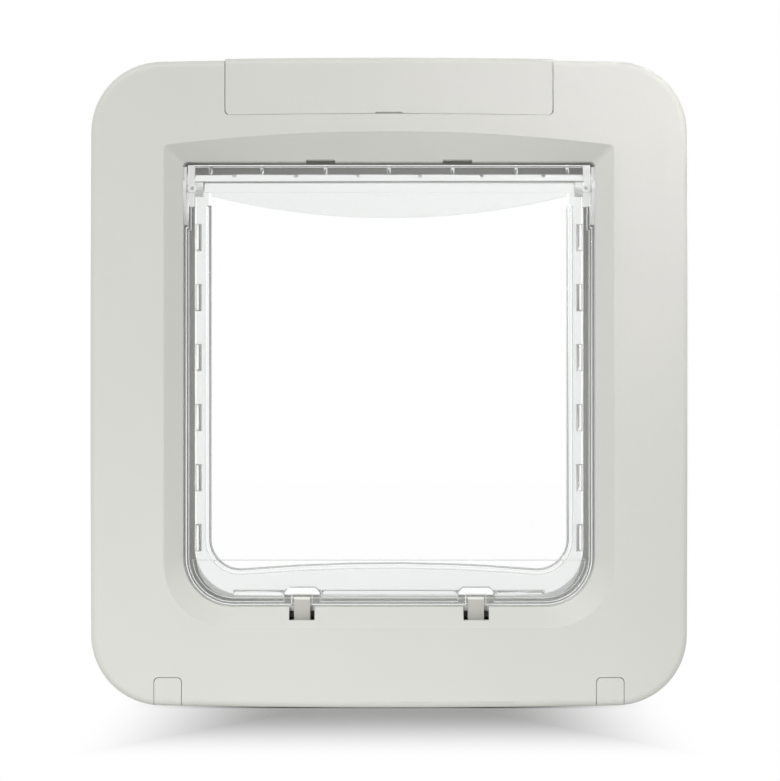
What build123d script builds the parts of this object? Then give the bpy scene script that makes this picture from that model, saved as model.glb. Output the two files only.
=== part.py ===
from build123d import *
import math
import os

# Frame on the room side. Y = 0 is the door face, the room lies towards -Y, and Z is up
FRAME_WIDTH = 262.0
FRAME_HEIGHT = 284.6
SIDE_BOW = 0.5
END_BOW = 1.9
FRAME_CORNER_RADIUS = 31.0
FRAME_DEPTH = 34.0
FRAME_EDGE_RADIUS = 3.0
WALL = 2.5
REAR_PLATE = 3.0
REAR_INSET = 0.8

# Opening, and the bevelled surround that leads down to it
OPENING_HALF = 90.7
OPENING_TOP = 97.6
OPENING_BOTTOM = -98.3
OPENING_LOWER_RADIUS = 22.0
OPENING_UPPER_RADIUS = 2.0
OPENING_DEPTH = 27.0
SURROUND_HALF = 98.6
SURROUND_SHOULDER = 104.4
SURROUND_CROWN = 110.5
SURROUND_BOTTOM = -107.0
SURROUND_LOWER_RADIUS = 28.0
COLLAR_WALL = 2.2
COLLAR_BACK = 19.0
NOTCH_CENTRE = 30.2
NOTCH_WIDTH = 12.9
NOTCH_RISE = 0.9
STIFFENER_HEIGHTS = [-84.0, -42.0, 0.0, 42.0]
STIFFENER_WIDTH = 1.5
STIFFENER_BACK = 24.5

# Tunnel, outdoor frame and the door between the two frames
TUNNEL_WALL = 2.0
TUNNEL_GAP = 0.3
TUNNEL_END = -50.0
FLANGE = 5.0
FLANGE_THICKNESS = 1.8
COIL_BACK = 7.0
COIL_WIDTH = 10.0
COIL_OUTER = 4.8
COIL_INNER = 2.1
DOOR_THICKNESS = 40.0
OUTDOOR_DEPTH = 12.0
OUTDOOR_BEVEL = 1.4

# Long fixing screws: the lower pair sits under caps, the upper pair under the battery cover
FIXING_LOWER = (96.9, -134.5)
FIXING_UPPER = (60.0, 135.2)
FIXING_RADIUS = 2.0
FIXING_HOLE_RADIUS = 2.3
FIXING_SEAT = 13.7
FIXING_HEAD_RADIUS = 3.5
FIXING_HEAD_HEIGHT = 2.8
FIXING_TIP = -47.0
FIXING_TIP_GAP = 1.0
FIXING_PLAY = 0.05
CROSS_LENGTH = 3.8
CROSS_WIDTH = 0.9
CROSS_DEPTH = 1.4
BOSS_RADIUS = 4.5
UPPER_BOSS_RADIUS = 4.1

# Small screws of the case, the board and the lock chassis, with their posts and holes
CASE_SCREWS = [(121.5, 84.0), (70.0, -128.0)]
CASE_SCREW_RADIUS = 1.35
CASE_SCREW_LENGTH = 14.0
CASE_HEAD_RADIUS = 2.8
CASE_HEAD_HEIGHT = 1.6
CASE_SEAT = 2.0
CASE_BOSS_RADIUS = 3.5
CASE_PILOT_RADIUS = 1.4
CASE_PILOT_DEPTH = 17.0
CASE_HOLE_RADIUS = 1.6
CASE_SINK_RADIUS = 3.1
SMALL_SCREW_RADIUS = 1.2
SMALL_SCREW_LENGTH = 6.0
SMALL_HEAD_RADIUS = 2.3
SMALL_HEAD_HEIGHT = 1.6
SMALL_HOLE_RADIUS = 1.4
POST_PILOT_RADIUS = 1.25
BOARD_POST_RADIUS = 2.6
CHASSIS_POST_RADIUS = 3.0
HEAD_BEVEL = 0.4

# Screw covers
CAP_WIDTH = 11.9
CAP_TOP = -128.9
CAP_CORNER_RADIUS = 2.0
CAP_BACK = 16.0
CAP_THICKNESS = 2.2
CAP_GAP = 0.2
CAP_LENGTH = 20.0
CAP_LIP = 1.0
CAP_BOX_WALL = 1.8
CAP_BOX_BACK = 12.0
CAP_BOX_TOP = -126.9
CAP_BOX_BOTTOM = -140.0

# Battery bay and its cover
COVER_HALF = 71.7
COVER_SEAM = 117.8
COVER_SEAM_RISE = 0.6
COVER_CORNER_RADIUS = 2.0
COVER_PROUD = 0.7
COVER_THICKNESS = 2.2
COVER_GAP = 0.25
BAY_BACK = 8.0
LEDGE_BACK = 30.7
LEDGE_WIDTH = 1.3
LEDGE_REACH = 3.0
NAIL_SLOT_WIDTH = 11.6
NAIL_SLOT_HEIGHT = 0.6
NAIL_SLOT_DEPTH = 1.4
TONGUE_PLACES = [-25.0, 25.0]
TONGUE_WIDTH = 10.0
TONGUE_BACK = 4.5
TONGUE_TOP = 139.3
TONGUE_THICKNESS = 1.8
TONGUE_ROOT = 2.0
TONGUE_ROOT_TOP = 141.3
TONGUE_ROOT_HEIGHT = 3.8

# Size C cells lie end to end, two on each side of the control pod
CELL_RADIUS = 13.1
CELL_LENGTH = 50.0
CELL_NUB_RADIUS = 2.9
CELL_NUB_LENGTH = 1.5
CELL_DEPTH = 17.2
CELL_HEIGHT = 117.5
CELL_START = 17.6
CELL_SPACING = 50.1
POD_HALF = 16.8
POD_WALL = 1.5
POD_TOP = 138.5
TRAY_BOTTOM = 102.7
TRAY_RIM = 112.0
TRAY_BACK = 4.0
TRAY_FRONT = 30.6
TRAY_END = 120.8
TRAY_STEP = 1.6
TRAY_WALL_TOP = 123.5
CELL_PLAY = 0.15
CELL_BEVEL = 0.8
CONTACT_WIDTH = 14.0
CONTACT_HEIGHT = 11.0
CONTACT_THICKNESS = 0.4
CONE_RADIUS = 5.0
CONE_TIP_RADIUS = 2.4

# Buttons and display on the control pod
PANEL_DEPTH = 27.5
PANEL_THICKNESS = 2.0
PANEL_BOTTOM = 112.5
BUTTON_X = 8.0
BUTTON_HEIGHT = 122.0
BUTTON_RADIUS = 3.25
BUTTON_TRAVEL = 0.8
BUTTON_PLAY = 0.15
BUTTON_LENGTH = 5.0
BUTTON_BEVEL = 0.5
BUTTON_SINK = 1.5
BUTTON_FLANGE = 1.0
BUTTON_FLANGE_THICKNESS = 1.2
BUTTON_STEM_RADIUS = 1.5
BUTTON_STEM_BACK = 24.2
BUTTON_BOARD_BACK = 21.4
DISPLAY_WIDTH = 26.0
DISPLAY_HEIGHT = 8.0
DISPLAY_CENTRE = 132.5
DISPLAY_SINK = 1.0
DISPLAY_THICKNESS = 1.3

# Clear flap, hung on two short pins
FLAP_HALF = 89.7
FLAP_NECK_HALF = 88.7
FLAP_TOP = 96.3
FLAP_SHOULDER = 68.9
FLAP_BOTTOM = -97.6
FLAP_LOWER_RADIUS = 21.0
FLAP_BACK = 20.0
FLAP_FRONT = 26.0
PANE = 2.4
LIP = 1.5
TOP_LIP = 0.9
WINDOW_HALF = 78.4
WINDOW_TOP = 85.3
WINDOW_SHOULDER = 84.4
WINDOW_BOTTOM = -78.9
WINDOW_FOOT = -82.9
WINDOW_CORNER_RADIUS = 13.0
BEAD_WIDTH = 2.8
BEAD_RISE = 2.6
BEAD_TOP = 78.6
BROW_EDGE = 82.7
BROW_DROP = 73.2
BROW_RISE = 1.0
BARREL_LOW = 89.0
BARREL_HIGH = 92.1
RIB_WIDTH = 1.7
RIB_STEP = 28.0
OUTER_RIB = 78.6
RIB_OVERLAP = 0.2
BARREL_NICK_STEP = 27.2
BARREL_NICK_WIDTH = 1.6
BARREL_NICK_DEPTH = 1.0
BARREL_NICK_LOW = 90.9
BLOCK_CENTRE = 84.1
BLOCK_WIDTH = 2.6
RIB_SINK = 1.0
BLOCK_LENGTH = 12.0
BLOCK_STEP = 26.5
BLOCK_COUNT = 6
BLOCK_MIDDLE = -1.8
FOOT_BAR_LOW = -93.7
FOOT_BAR_HIGH = -91.1
FOOT_STEP = -78.2
FOOT_PAD = 0.8
FOOT_PAD_INSET = 3.0
END_BLOCK_START = 85.4
END_BLOCK_LOW = 77.8
KNUCKLE_START = 82.0
KNUCKLE_RADIUS = 3.6
SIGHT_BOSS_X = 86.7
SIGHT_BOSS_RADIUS = 1.9
SIGHT_BOSS_FRONT = 26.9
SIGHT_HOLE_RADIUS = 0.8

# Hinge
HINGE_HEIGHT = 86.0
HINGE_DEPTH = 23.0
PIN_RADIUS = 1.5
PIN_BORE_RADIUS = 1.56
PIN_START = 85.3
PIN_END = 92.8
PIN_BORE_START = 85.0
PIN_BORE_LENGTH = 10.0
EAR_INNER = 89.1
EAR_RADIUS = 5.2
EAR_TIP = 70.0
EAR_TIP_HALF = 1.0
EAR_HEAD_TOP = 95.4
EAR_HEAD_BACK = 20.0
EAR_HEAD_FRONT = 26.0

# Lock tongues in the flap's keepers
LATCH_X = 38.3
LATCH_WIDTH = 7.2
LATCH_TOP = -94.1
LATCH_NOSE_RADIUS = 1.2
LATCH_FOOT = -107.0
LATCH_BACK = 22.4
LATCH_FRONT = 25.6
LATCH_SLOT_WIDTH = 11.2
LATCH_SLOT_BOTTOM = -103.9
LATCH_SLOT_BACK = 21.8
LATCH_SLOT_OVERLAP = 2.0
KEEPER_WIDTH = 16.2
KEEPER_TOP = -89.6
KEEPER_CORNER = 2.2
KEEPER_POCKET_WIDTH = 8.6
KEEPER_POCKET_TOP = -93.1
KEEPER_POCKET_BACK = 22.0

# Lock bar with its rack, and the wheel that drives it
BAR_HALF = 43.7
BAR_HEIGHT = 6.0
BAR_BACK = 21.4
BAR_FRONT = 26.6
GEAR_MODULE = 0.8
PINION_TEETH = 12
PRESSURE_ANGLE = math.radians(25.0)
ADDENDUM = 0.72
DEDENDUM = 1.0
BACKLASH = 0.12
PINION_WIDTH = 6.0
PINION_X = 14.0
PINION_HEIGHT = -127.0
PINION_DEPTH = 18.8
RACK_WIDTH = 5.0
RACK_TEETH = 6
SHAFT_RADIUS = 1.5
MOTOR_START = 19.0
GEARBOX_LENGTH = 9.0
MOTOR_LENGTH = 24.0
MOTOR_RADIUS = 6.0
MOTOR_FLAT = 5.0
SHAFT_SEAT = 3.0
SHAFT_OVERHANG = 0.5
SHAFT_PLAY = 0.05

# Chassis of the lock
CHASSIS_HALF = 52.0
CHASSIS_TOP = -104.5
CHASSIS_BOTTOM = -134.5
CHASSIS_BACK = 9.6
CHASSIS_PLATE = 2.0
RAIL_OUTER = 50.0
RAIL_INNER = 42.0
RAIL_BOTTOM = -122.0
RAIL_FRONT = 28.2
RAIL_GAP = 0.3
MOTOR_RIBS = [23.0, 36.0]
MOTOR_RIB_THICKNESS = 2.0
MOTOR_RIB_DEPTH = 6.4
MOTOR_RIB_EDGE = 2.0
CHASSIS_CORNER = 2.0
CHASSIS_SCREWS = [(-32.0, -109.0), (32.0, -109.0), (-32.0, -130.0)]

# Control board on the right-hand side of the housing
BOARD_CENTRE = (111.75, 0.0)
BOARD_WIDTH = 27.5
BOARD_HEIGHT = 140.0
BOARD_BACK = 12.4
BOARD_THICKNESS = 1.6
BOARD_CORNER = 1.5
BOARD_SCREWS = [(101.2, 66.5), (122.3, -66.5)]

# Parts on the control board: centres and sizes, as width, height and thickness
PROCESSOR_CENTRE = (112.0, 18.0)
PROCESSOR_SIZE = 10.0
CHIP_CENTRES = [(105.0, -8.0), (105.0, -20.0), (118.0, -8.0)]
CHIP_WIDTH = 4.0
CHIP_HEIGHT = 5.0
CHIP_THICKNESS = 1.5
CONNECTOR_CENTRE = (105.0, 48.0)
CONNECTOR_WIDTH = 8.0
CONNECTOR_HEIGHT = 12.0
CONNECTOR_THICKNESS = 6.0
CAPACITOR_CENTRES = [(118.0, 42.0), (118.0, 53.0), (106.0, -44.0)]
CAPACITOR_RADIUS = 4.0
CAPACITOR_THICKNESS = 9.0
BUZZER_CENTRE = (116.0, -36.0)
BUZZER_RADIUS = 6.0
BUZZER_THICKNESS = 5.0

os.makedirs("parts", exist_ok=True)


def from_door(depth):
    """Give the drawing plane this far in front of the door face: its x is width and its y is height."""
    return Plane.XZ.offset(depth)


def section_at(x):
    """Give the side section at this width: its x is distance from the door face and its y is height."""
    return Plane(origin=(x, 0, 0), x_dir=(0, -1, 0), z_dir=(-1, 0, 0))


def frame_end(x):
    """Give the height of the frame's bowed top edge at this width."""
    return FRAME_HEIGHT / 2 - END_BOW * (2 * x / FRAME_WIDTH) ** 2


def both_sides(points):
    """Repeat points of the right-hand side on the left-hand side."""
    return [(side * x, z) for x, z in points for side in (-1, 1)]


# Outlines that several pieces share
corner_x = FRAME_WIDTH / 2 - SIDE_BOW
corner_z = FRAME_HEIGHT / 2 - END_BOW
with BuildSketch() as frame_outline:
    with BuildLine():
        ThreePointArc((-corner_x, corner_z), (0, FRAME_HEIGHT / 2), (corner_x, corner_z))
        ThreePointArc((corner_x, corner_z), (FRAME_WIDTH / 2, 0), (corner_x, -corner_z))
        ThreePointArc((corner_x, -corner_z), (0, -FRAME_HEIGHT / 2), (-corner_x, -corner_z))
        ThreePointArc((-corner_x, -corner_z), (-FRAME_WIDTH / 2, 0), (-corner_x, corner_z))
    make_face()
    fillet(frame_outline.vertices(), FRAME_CORNER_RADIUS)

with BuildSketch() as opening_outline:
    with Locations((0, (OPENING_TOP + OPENING_BOTTOM) / 2)):
        Rectangle(2 * OPENING_HALF, OPENING_TOP - OPENING_BOTTOM)
    fillet(opening_outline.vertices().group_by(Axis.Y)[0], OPENING_LOWER_RADIUS)
    fillet(opening_outline.vertices().group_by(Axis.Y)[-1], OPENING_UPPER_RADIUS)

with BuildSketch() as surround_outline:
    with BuildLine():
        ThreePointArc(
            (-SURROUND_HALF, SURROUND_SHOULDER), (0, SURROUND_CROWN), (SURROUND_HALF, SURROUND_SHOULDER)
        )
        Polyline(
            (SURROUND_HALF, SURROUND_SHOULDER),
            (SURROUND_HALF, SURROUND_BOTTOM),
            (-SURROUND_HALF, SURROUND_BOTTOM),
            (-SURROUND_HALF, SURROUND_SHOULDER),
        )
    make_face()
    fillet(surround_outline.vertices().group_by(Axis.Y)[0], SURROUND_LOWER_RADIUS)
    fillet(surround_outline.vertices().group_by(Axis.Y)[-1], OPENING_UPPER_RADIUS)

# Solid block of the front housing, before it is hollowed
with BuildPart() as front_block:
    with BuildSketch(from_door(REAR_PLATE)):
        add(frame_outline.sketch)
    extrude(amount=FRAME_DEPTH - REAR_PLATE)
    fillet(front_block.faces().sort_by(Axis.Y)[0].edges(), FRAME_EDGE_RADIUS)

# Funnel that the surround cuts into the front, and the same form behind its wall
with BuildPart() as surround_funnel:
    with BuildSketch(from_door(FRAME_DEPTH)):
        add(surround_outline.sketch)
    with BuildSketch(from_door(OPENING_DEPTH)):
        add(opening_outline.sketch)
    loft(ruled=True)

with BuildPart() as surround_backing:
    with BuildSketch(from_door(FRAME_DEPTH - WALL)):
        add(surround_outline.sketch)
        offset(amount=1.0)
    with BuildSketch(from_door(OPENING_DEPTH - WALL)):
        add(opening_outline.sketch)
        offset(amount=1.0)
    loft(ruled=True)

# Front housing: hollow shell, collar round the opening, battery bay, screw pockets and bosses
fixing_points = both_sides([FIXING_LOWER, FIXING_UPPER])
case_points = both_sides(CASE_SCREWS)
pocket_half = CAP_WIDTH / 2 + CAP_GAP
latch_slot_top = OPENING_BOTTOM + LATCH_SLOT_OVERLAP
with BuildPart() as front_frame:
    add(front_block.part)
    with BuildSketch(from_door(REAR_PLATE)):
        add(frame_outline.sketch)
        offset(amount=-WALL)
    extrude(amount=FRAME_DEPTH - WALL - REAR_PLATE, mode=Mode.SUBTRACT)
    add(surround_backing.part)
    with BuildSketch(from_door(COLLAR_BACK)):
        add(opening_outline.sketch)
        offset(amount=COLLAR_WALL)
    extrude(amount=OPENING_DEPTH - COLLAR_BACK)
    # Stiffening ribs inside the two side walls
    with BuildSketch(from_door(STIFFENER_BACK)):
        for height in STIFFENER_HEIGHTS:
            for side in (-1, 1):
                with Locations((side * (OPENING_HALF + FRAME_WIDTH / 2 - WALL / 2) / 2, height)):
                    Rectangle(FRAME_WIDTH / 2 - WALL / 2 - OPENING_HALF, STIFFENER_WIDTH)
    extrude(amount=FRAME_DEPTH - WALL - STIFFENER_BACK)
    # Boxes for the lower screw covers, with a boss behind each, and bosses for the case screws
    with BuildSketch(from_door(CAP_BOX_BACK)):
        with Locations(*both_sides([(FIXING_LOWER[0], (CAP_BOX_TOP + CAP_BOX_BOTTOM) / 2)])):
            Rectangle(2 * (pocket_half + CAP_BOX_WALL), CAP_BOX_TOP - CAP_BOX_BOTTOM)
    extrude(amount=FRAME_DEPTH - WALL - CAP_BOX_BACK)
    with BuildSketch(from_door(REAR_PLATE)):
        with Locations(*both_sides([FIXING_LOWER])):
            Circle(BOSS_RADIUS)
    extrude(amount=FIXING_SEAT - REAR_PLATE)
    with BuildSketch(from_door(REAR_PLATE)):
        with Locations(*case_points):
            Circle(CASE_BOSS_RADIUS)
    extrude(amount=FRAME_DEPTH - WALL - REAR_PLATE)
    add(surround_funnel.part, mode=Mode.SUBTRACT)
    with BuildSketch(from_door(REAR_PLATE)):
        add(opening_outline.sketch)
    extrude(amount=OPENING_DEPTH - REAR_PLATE, mode=Mode.SUBTRACT)
    # Battery bay, open to the front and through the top edge
    with BuildSketch(from_door(BAY_BACK)) as bay_mouth:
        with BuildLine():
            ThreePointArc(
                (-COVER_HALF - COVER_GAP, COVER_SEAM - COVER_GAP),
                (0, COVER_SEAM + COVER_SEAM_RISE - COVER_GAP),
                (COVER_HALF + COVER_GAP, COVER_SEAM - COVER_GAP),
            )
            Polyline(
                (COVER_HALF + COVER_GAP, COVER_SEAM - COVER_GAP),
                (COVER_HALF + COVER_GAP, FRAME_HEIGHT / 2 + 5.0),
                (-COVER_HALF - COVER_GAP, FRAME_HEIGHT / 2 + 5.0),
                (-COVER_HALF - COVER_GAP, COVER_SEAM - COVER_GAP),
            )
        make_face()
        fillet(bay_mouth.vertices().group_by(Axis.Y)[0], COVER_CORNER_RADIUS)
    extrude(amount=FRAME_DEPTH - BAY_BACK, mode=Mode.SUBTRACT)
    # Ledge along the bay's mouth, which the battery cover rests on, cut away in front of the pod
    with BuildSketch(from_door(LEDGE_BACK)):
        with BuildLine():
            ThreePointArc(
                (-COVER_HALF, COVER_SEAM + LEDGE_WIDTH),
                (0, COVER_SEAM + COVER_SEAM_RISE + LEDGE_WIDTH),
                (COVER_HALF, COVER_SEAM + LEDGE_WIDTH),
            )
            Polyline(
                (COVER_HALF, COVER_SEAM + LEDGE_WIDTH),
                (COVER_HALF, COVER_SEAM - LEDGE_REACH),
                (-COVER_HALF, COVER_SEAM - LEDGE_REACH),
                (-COVER_HALF, COVER_SEAM + LEDGE_WIDTH),
            )
        make_face()
        with Locations((0, COVER_SEAM + LEDGE_REACH)):
            Rectangle(2 * POD_HALF, 2 * LEDGE_REACH, mode=Mode.SUBTRACT)
    extrude(amount=FRAME_DEPTH - COVER_THICKNESS - COVER_GAP - LEDGE_BACK)
    # Pockets of the screw covers, open to the front and through the bottom edge
    with BuildSketch(from_door(FIXING_SEAT)) as cap_pockets:
        with Locations(*both_sides([(FIXING_LOWER[0], CAP_TOP + CAP_GAP - CAP_LENGTH / 2)])):
            Rectangle(2 * pocket_half, CAP_LENGTH)
        fillet(cap_pockets.vertices().group_by(Axis.Y)[-1], CAP_CORNER_RADIUS)
    extrude(amount=FRAME_DEPTH - FIXING_SEAT, mode=Mode.SUBTRACT)
    # Screw holes
    with BuildSketch(from_door(REAR_PLATE)):
        with Locations(*both_sides([FIXING_LOWER])):
            Circle(FIXING_HOLE_RADIUS)
    extrude(amount=FIXING_SEAT - REAR_PLATE, mode=Mode.SUBTRACT)
    with BuildSketch(from_door(REAR_PLATE)):
        with Locations(*case_points):
            Circle(CASE_PILOT_RADIUS)
    extrude(amount=CASE_PILOT_DEPTH, mode=Mode.SUBTRACT)
    # Slots for the lock tongues and two shallow notches in the opening's top edge
    with BuildSketch(from_door(LATCH_SLOT_BACK)):
        with Locations(*both_sides([(LATCH_X, (LATCH_SLOT_BOTTOM + latch_slot_top) / 2)])):
            Rectangle(LATCH_SLOT_WIDTH, latch_slot_top - LATCH_SLOT_BOTTOM)
    extrude(amount=FRAME_DEPTH - LATCH_SLOT_BACK, mode=Mode.SUBTRACT)
    with BuildSketch(from_door(COLLAR_BACK)):
        with Locations(*both_sides([(NOTCH_CENTRE, OPENING_TOP)])):
            Rectangle(NOTCH_WIDTH, 2 * NOTCH_RISE)
    extrude(amount=FRAME_DEPTH - COLLAR_BACK, mode=Mode.SUBTRACT)
    # Holes that hold the outer ends of the hinge pins
    with BuildSketch(section_at(-OPENING_HALF - COLLAR_WALL)):
        with Locations((HINGE_DEPTH, HINGE_HEIGHT)):
            Circle(PIN_RADIUS)
    extrude(amount=-2 * (OPENING_HALF + COLLAR_WALL), mode=Mode.SUBTRACT)
front_frame.part.label = "front_frame"
export_step(front_frame.part, "parts/front_frame.step")

# Rear cover: plate against the door, with posts for the board, the lock chassis and the upper screws
with BuildPart() as rear_cover:
    with BuildSketch(from_door(0)):
        add(frame_outline.sketch)
        offset(amount=-REAR_INSET)
    extrude(amount=REAR_PLATE)
    with BuildSketch(from_door(REAR_PLATE)):
        with Locations(*BOARD_SCREWS):
            Circle(BOARD_POST_RADIUS)
    extrude(amount=BOARD_BACK - REAR_PLATE)
    with BuildSketch(from_door(REAR_PLATE)):
        with Locations(*CHASSIS_SCREWS):
            Circle(CHASSIS_POST_RADIUS)
    extrude(amount=CHASSIS_BACK - REAR_PLATE)
    with BuildSketch(from_door(REAR_PLATE)):
        with Locations(*both_sides([FIXING_UPPER])):
            Circle(UPPER_BOSS_RADIUS)
    extrude(amount=FIXING_SEAT - REAR_PLATE)
    with BuildSketch(from_door(0)):
        add(opening_outline.sketch)
        offset(amount=TUNNEL_WALL + TUNNEL_GAP)
    extrude(amount=REAR_PLATE, mode=Mode.SUBTRACT)
    with BuildSketch(from_door(0)):
        with Locations(*fixing_points):
            Circle(FIXING_HOLE_RADIUS)
        with Locations(*case_points):
            Circle(CASE_HOLE_RADIUS)
    extrude(amount=FIXING_SEAT, mode=Mode.SUBTRACT)
    with BuildSketch(from_door(0)):
        with Locations(*case_points):
            Circle(CASE_SINK_RADIUS)
    extrude(amount=CASE_SEAT, mode=Mode.SUBTRACT)
    with BuildSketch(from_door(REAR_PLATE)):
        with Locations(*BOARD_SCREWS, *CHASSIS_SCREWS):
            Circle(POST_PILOT_RADIUS)
    extrude(amount=CHASSIS_BACK, mode=Mode.SUBTRACT)
rear_cover.part.label = "rear_cover"
export_step(rear_cover.part, "parts/rear_cover.step")

# Tunnel: one tube through the door, with two flanges that the reader coil is wound between
with BuildPart() as tunnel:
    with BuildSketch(from_door(TUNNEL_END)):
        add(opening_outline.sketch)
        offset(amount=TUNNEL_WALL)
    extrude(amount=COLLAR_BACK - TUNNEL_END)
    with BuildSketch(from_door(COLLAR_BACK - FLANGE_THICKNESS), from_door(COIL_BACK - FLANGE_THICKNESS)):
        add(opening_outline.sketch)
        offset(amount=FLANGE)
    extrude(amount=FLANGE_THICKNESS)
    with BuildSketch(from_door(TUNNEL_END)):
        add(opening_outline.sketch)
    extrude(amount=COLLAR_BACK - TUNNEL_END, mode=Mode.SUBTRACT)
tunnel.part.label = "tunnel"
export_step(tunnel.part, "parts/tunnel.step")

# Reader coil: a flat band of windings round the tunnel
with BuildPart() as reader_coil:
    with BuildSketch(from_door(COIL_BACK)):
        add(opening_outline.sketch)
        offset(amount=COIL_OUTER)
    extrude(amount=COIL_WIDTH)
    with BuildSketch(from_door(COIL_BACK)):
        add(opening_outline.sketch)
        offset(amount=COIL_INNER)
    extrude(amount=COIL_WIDTH, mode=Mode.SUBTRACT)
reader_coil.part.label = "reader_coil"
export_step(reader_coil.part, "parts/reader_coil.step")

# Outdoor frame: hollow ring that the tunnel's end seats in, with four screw bosses
outdoor_face = -DOOR_THICKNESS - OUTDOOR_DEPTH
with BuildPart() as exterior_frame:
    with BuildSketch(from_door(outdoor_face)):
        add(frame_outline.sketch)
    extrude(amount=OUTDOOR_DEPTH)
    fillet(exterior_frame.faces().sort_by(Axis.Y)[-1].edges(), FRAME_EDGE_RADIUS)
    with BuildSketch(from_door(outdoor_face + WALL)):
        add(frame_outline.sketch)
        offset(amount=-WALL)
    extrude(amount=OUTDOOR_DEPTH - WALL, mode=Mode.SUBTRACT)
    with BuildSketch(from_door(outdoor_face + WALL)):
        add(opening_outline.sketch)
        offset(amount=TUNNEL_WALL + TUNNEL_GAP + WALL)
    extrude(amount=OUTDOOR_DEPTH - WALL)
    with BuildSketch(from_door(outdoor_face + WALL)):
        with Locations(*fixing_points):
            Circle(BOSS_RADIUS)
    extrude(amount=OUTDOOR_DEPTH - WALL)
    with BuildSketch(from_door(TUNNEL_END)):
        add(opening_outline.sketch)
        offset(amount=TUNNEL_WALL + TUNNEL_GAP)
    extrude(amount=OUTDOOR_DEPTH, mode=Mode.SUBTRACT)
    with BuildSketch(from_door(outdoor_face)):
        add(opening_outline.sketch)
    extrude(amount=OUTDOOR_DEPTH, mode=Mode.SUBTRACT)
    outdoor_mouth = exterior_frame.faces().sort_by(Axis.Y)[-1].inner_wires()[0]
    chamfer(outdoor_mouth.edges(), OUTDOOR_BEVEL)
    with BuildSketch(from_door(FIXING_TIP - FIXING_TIP_GAP)):
        with Locations(*fixing_points):
            Circle(FIXING_RADIUS + FIXING_PLAY)
    extrude(amount=OUTDOOR_DEPTH, mode=Mode.SUBTRACT)
exterior_frame.part.label = "exterior_frame"
export_step(exterior_frame.part, "parts/exterior_frame.step")

# Outlines of the flap and of its window
with BuildSketch() as flap_outline:
    with Locations((0, (FLAP_SHOULDER + FLAP_BOTTOM) / 2)):
        Rectangle(2 * FLAP_HALF, FLAP_SHOULDER - FLAP_BOTTOM)
    with Locations((0, (FLAP_TOP + FLAP_SHOULDER) / 2)):
        Rectangle(2 * FLAP_NECK_HALF, FLAP_TOP - FLAP_SHOULDER)
    fillet(flap_outline.vertices().group_by(Axis.Y)[0], FLAP_LOWER_RADIUS)
    fillet(flap_outline.vertices().group_by(Axis.Y)[-1], OPENING_UPPER_RADIUS)

with BuildSketch() as window_outline:
    with BuildLine():
        ThreePointArc((-WINDOW_HALF, WINDOW_SHOULDER), (0, WINDOW_TOP), (WINDOW_HALF, WINDOW_SHOULDER))
        Line((WINDOW_HALF, WINDOW_SHOULDER), (WINDOW_HALF, WINDOW_FOOT))
        ThreePointArc((WINDOW_HALF, WINDOW_FOOT), (0, WINDOW_BOTTOM), (-WINDOW_HALF, WINDOW_FOOT))
        Line((-WINDOW_HALF, WINDOW_FOOT), (-WINDOW_HALF, WINDOW_SHOULDER))
    make_face()
    fillet(window_outline.vertices().group_by(Axis.Y)[0], WINDOW_CORNER_RADIUS)

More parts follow.
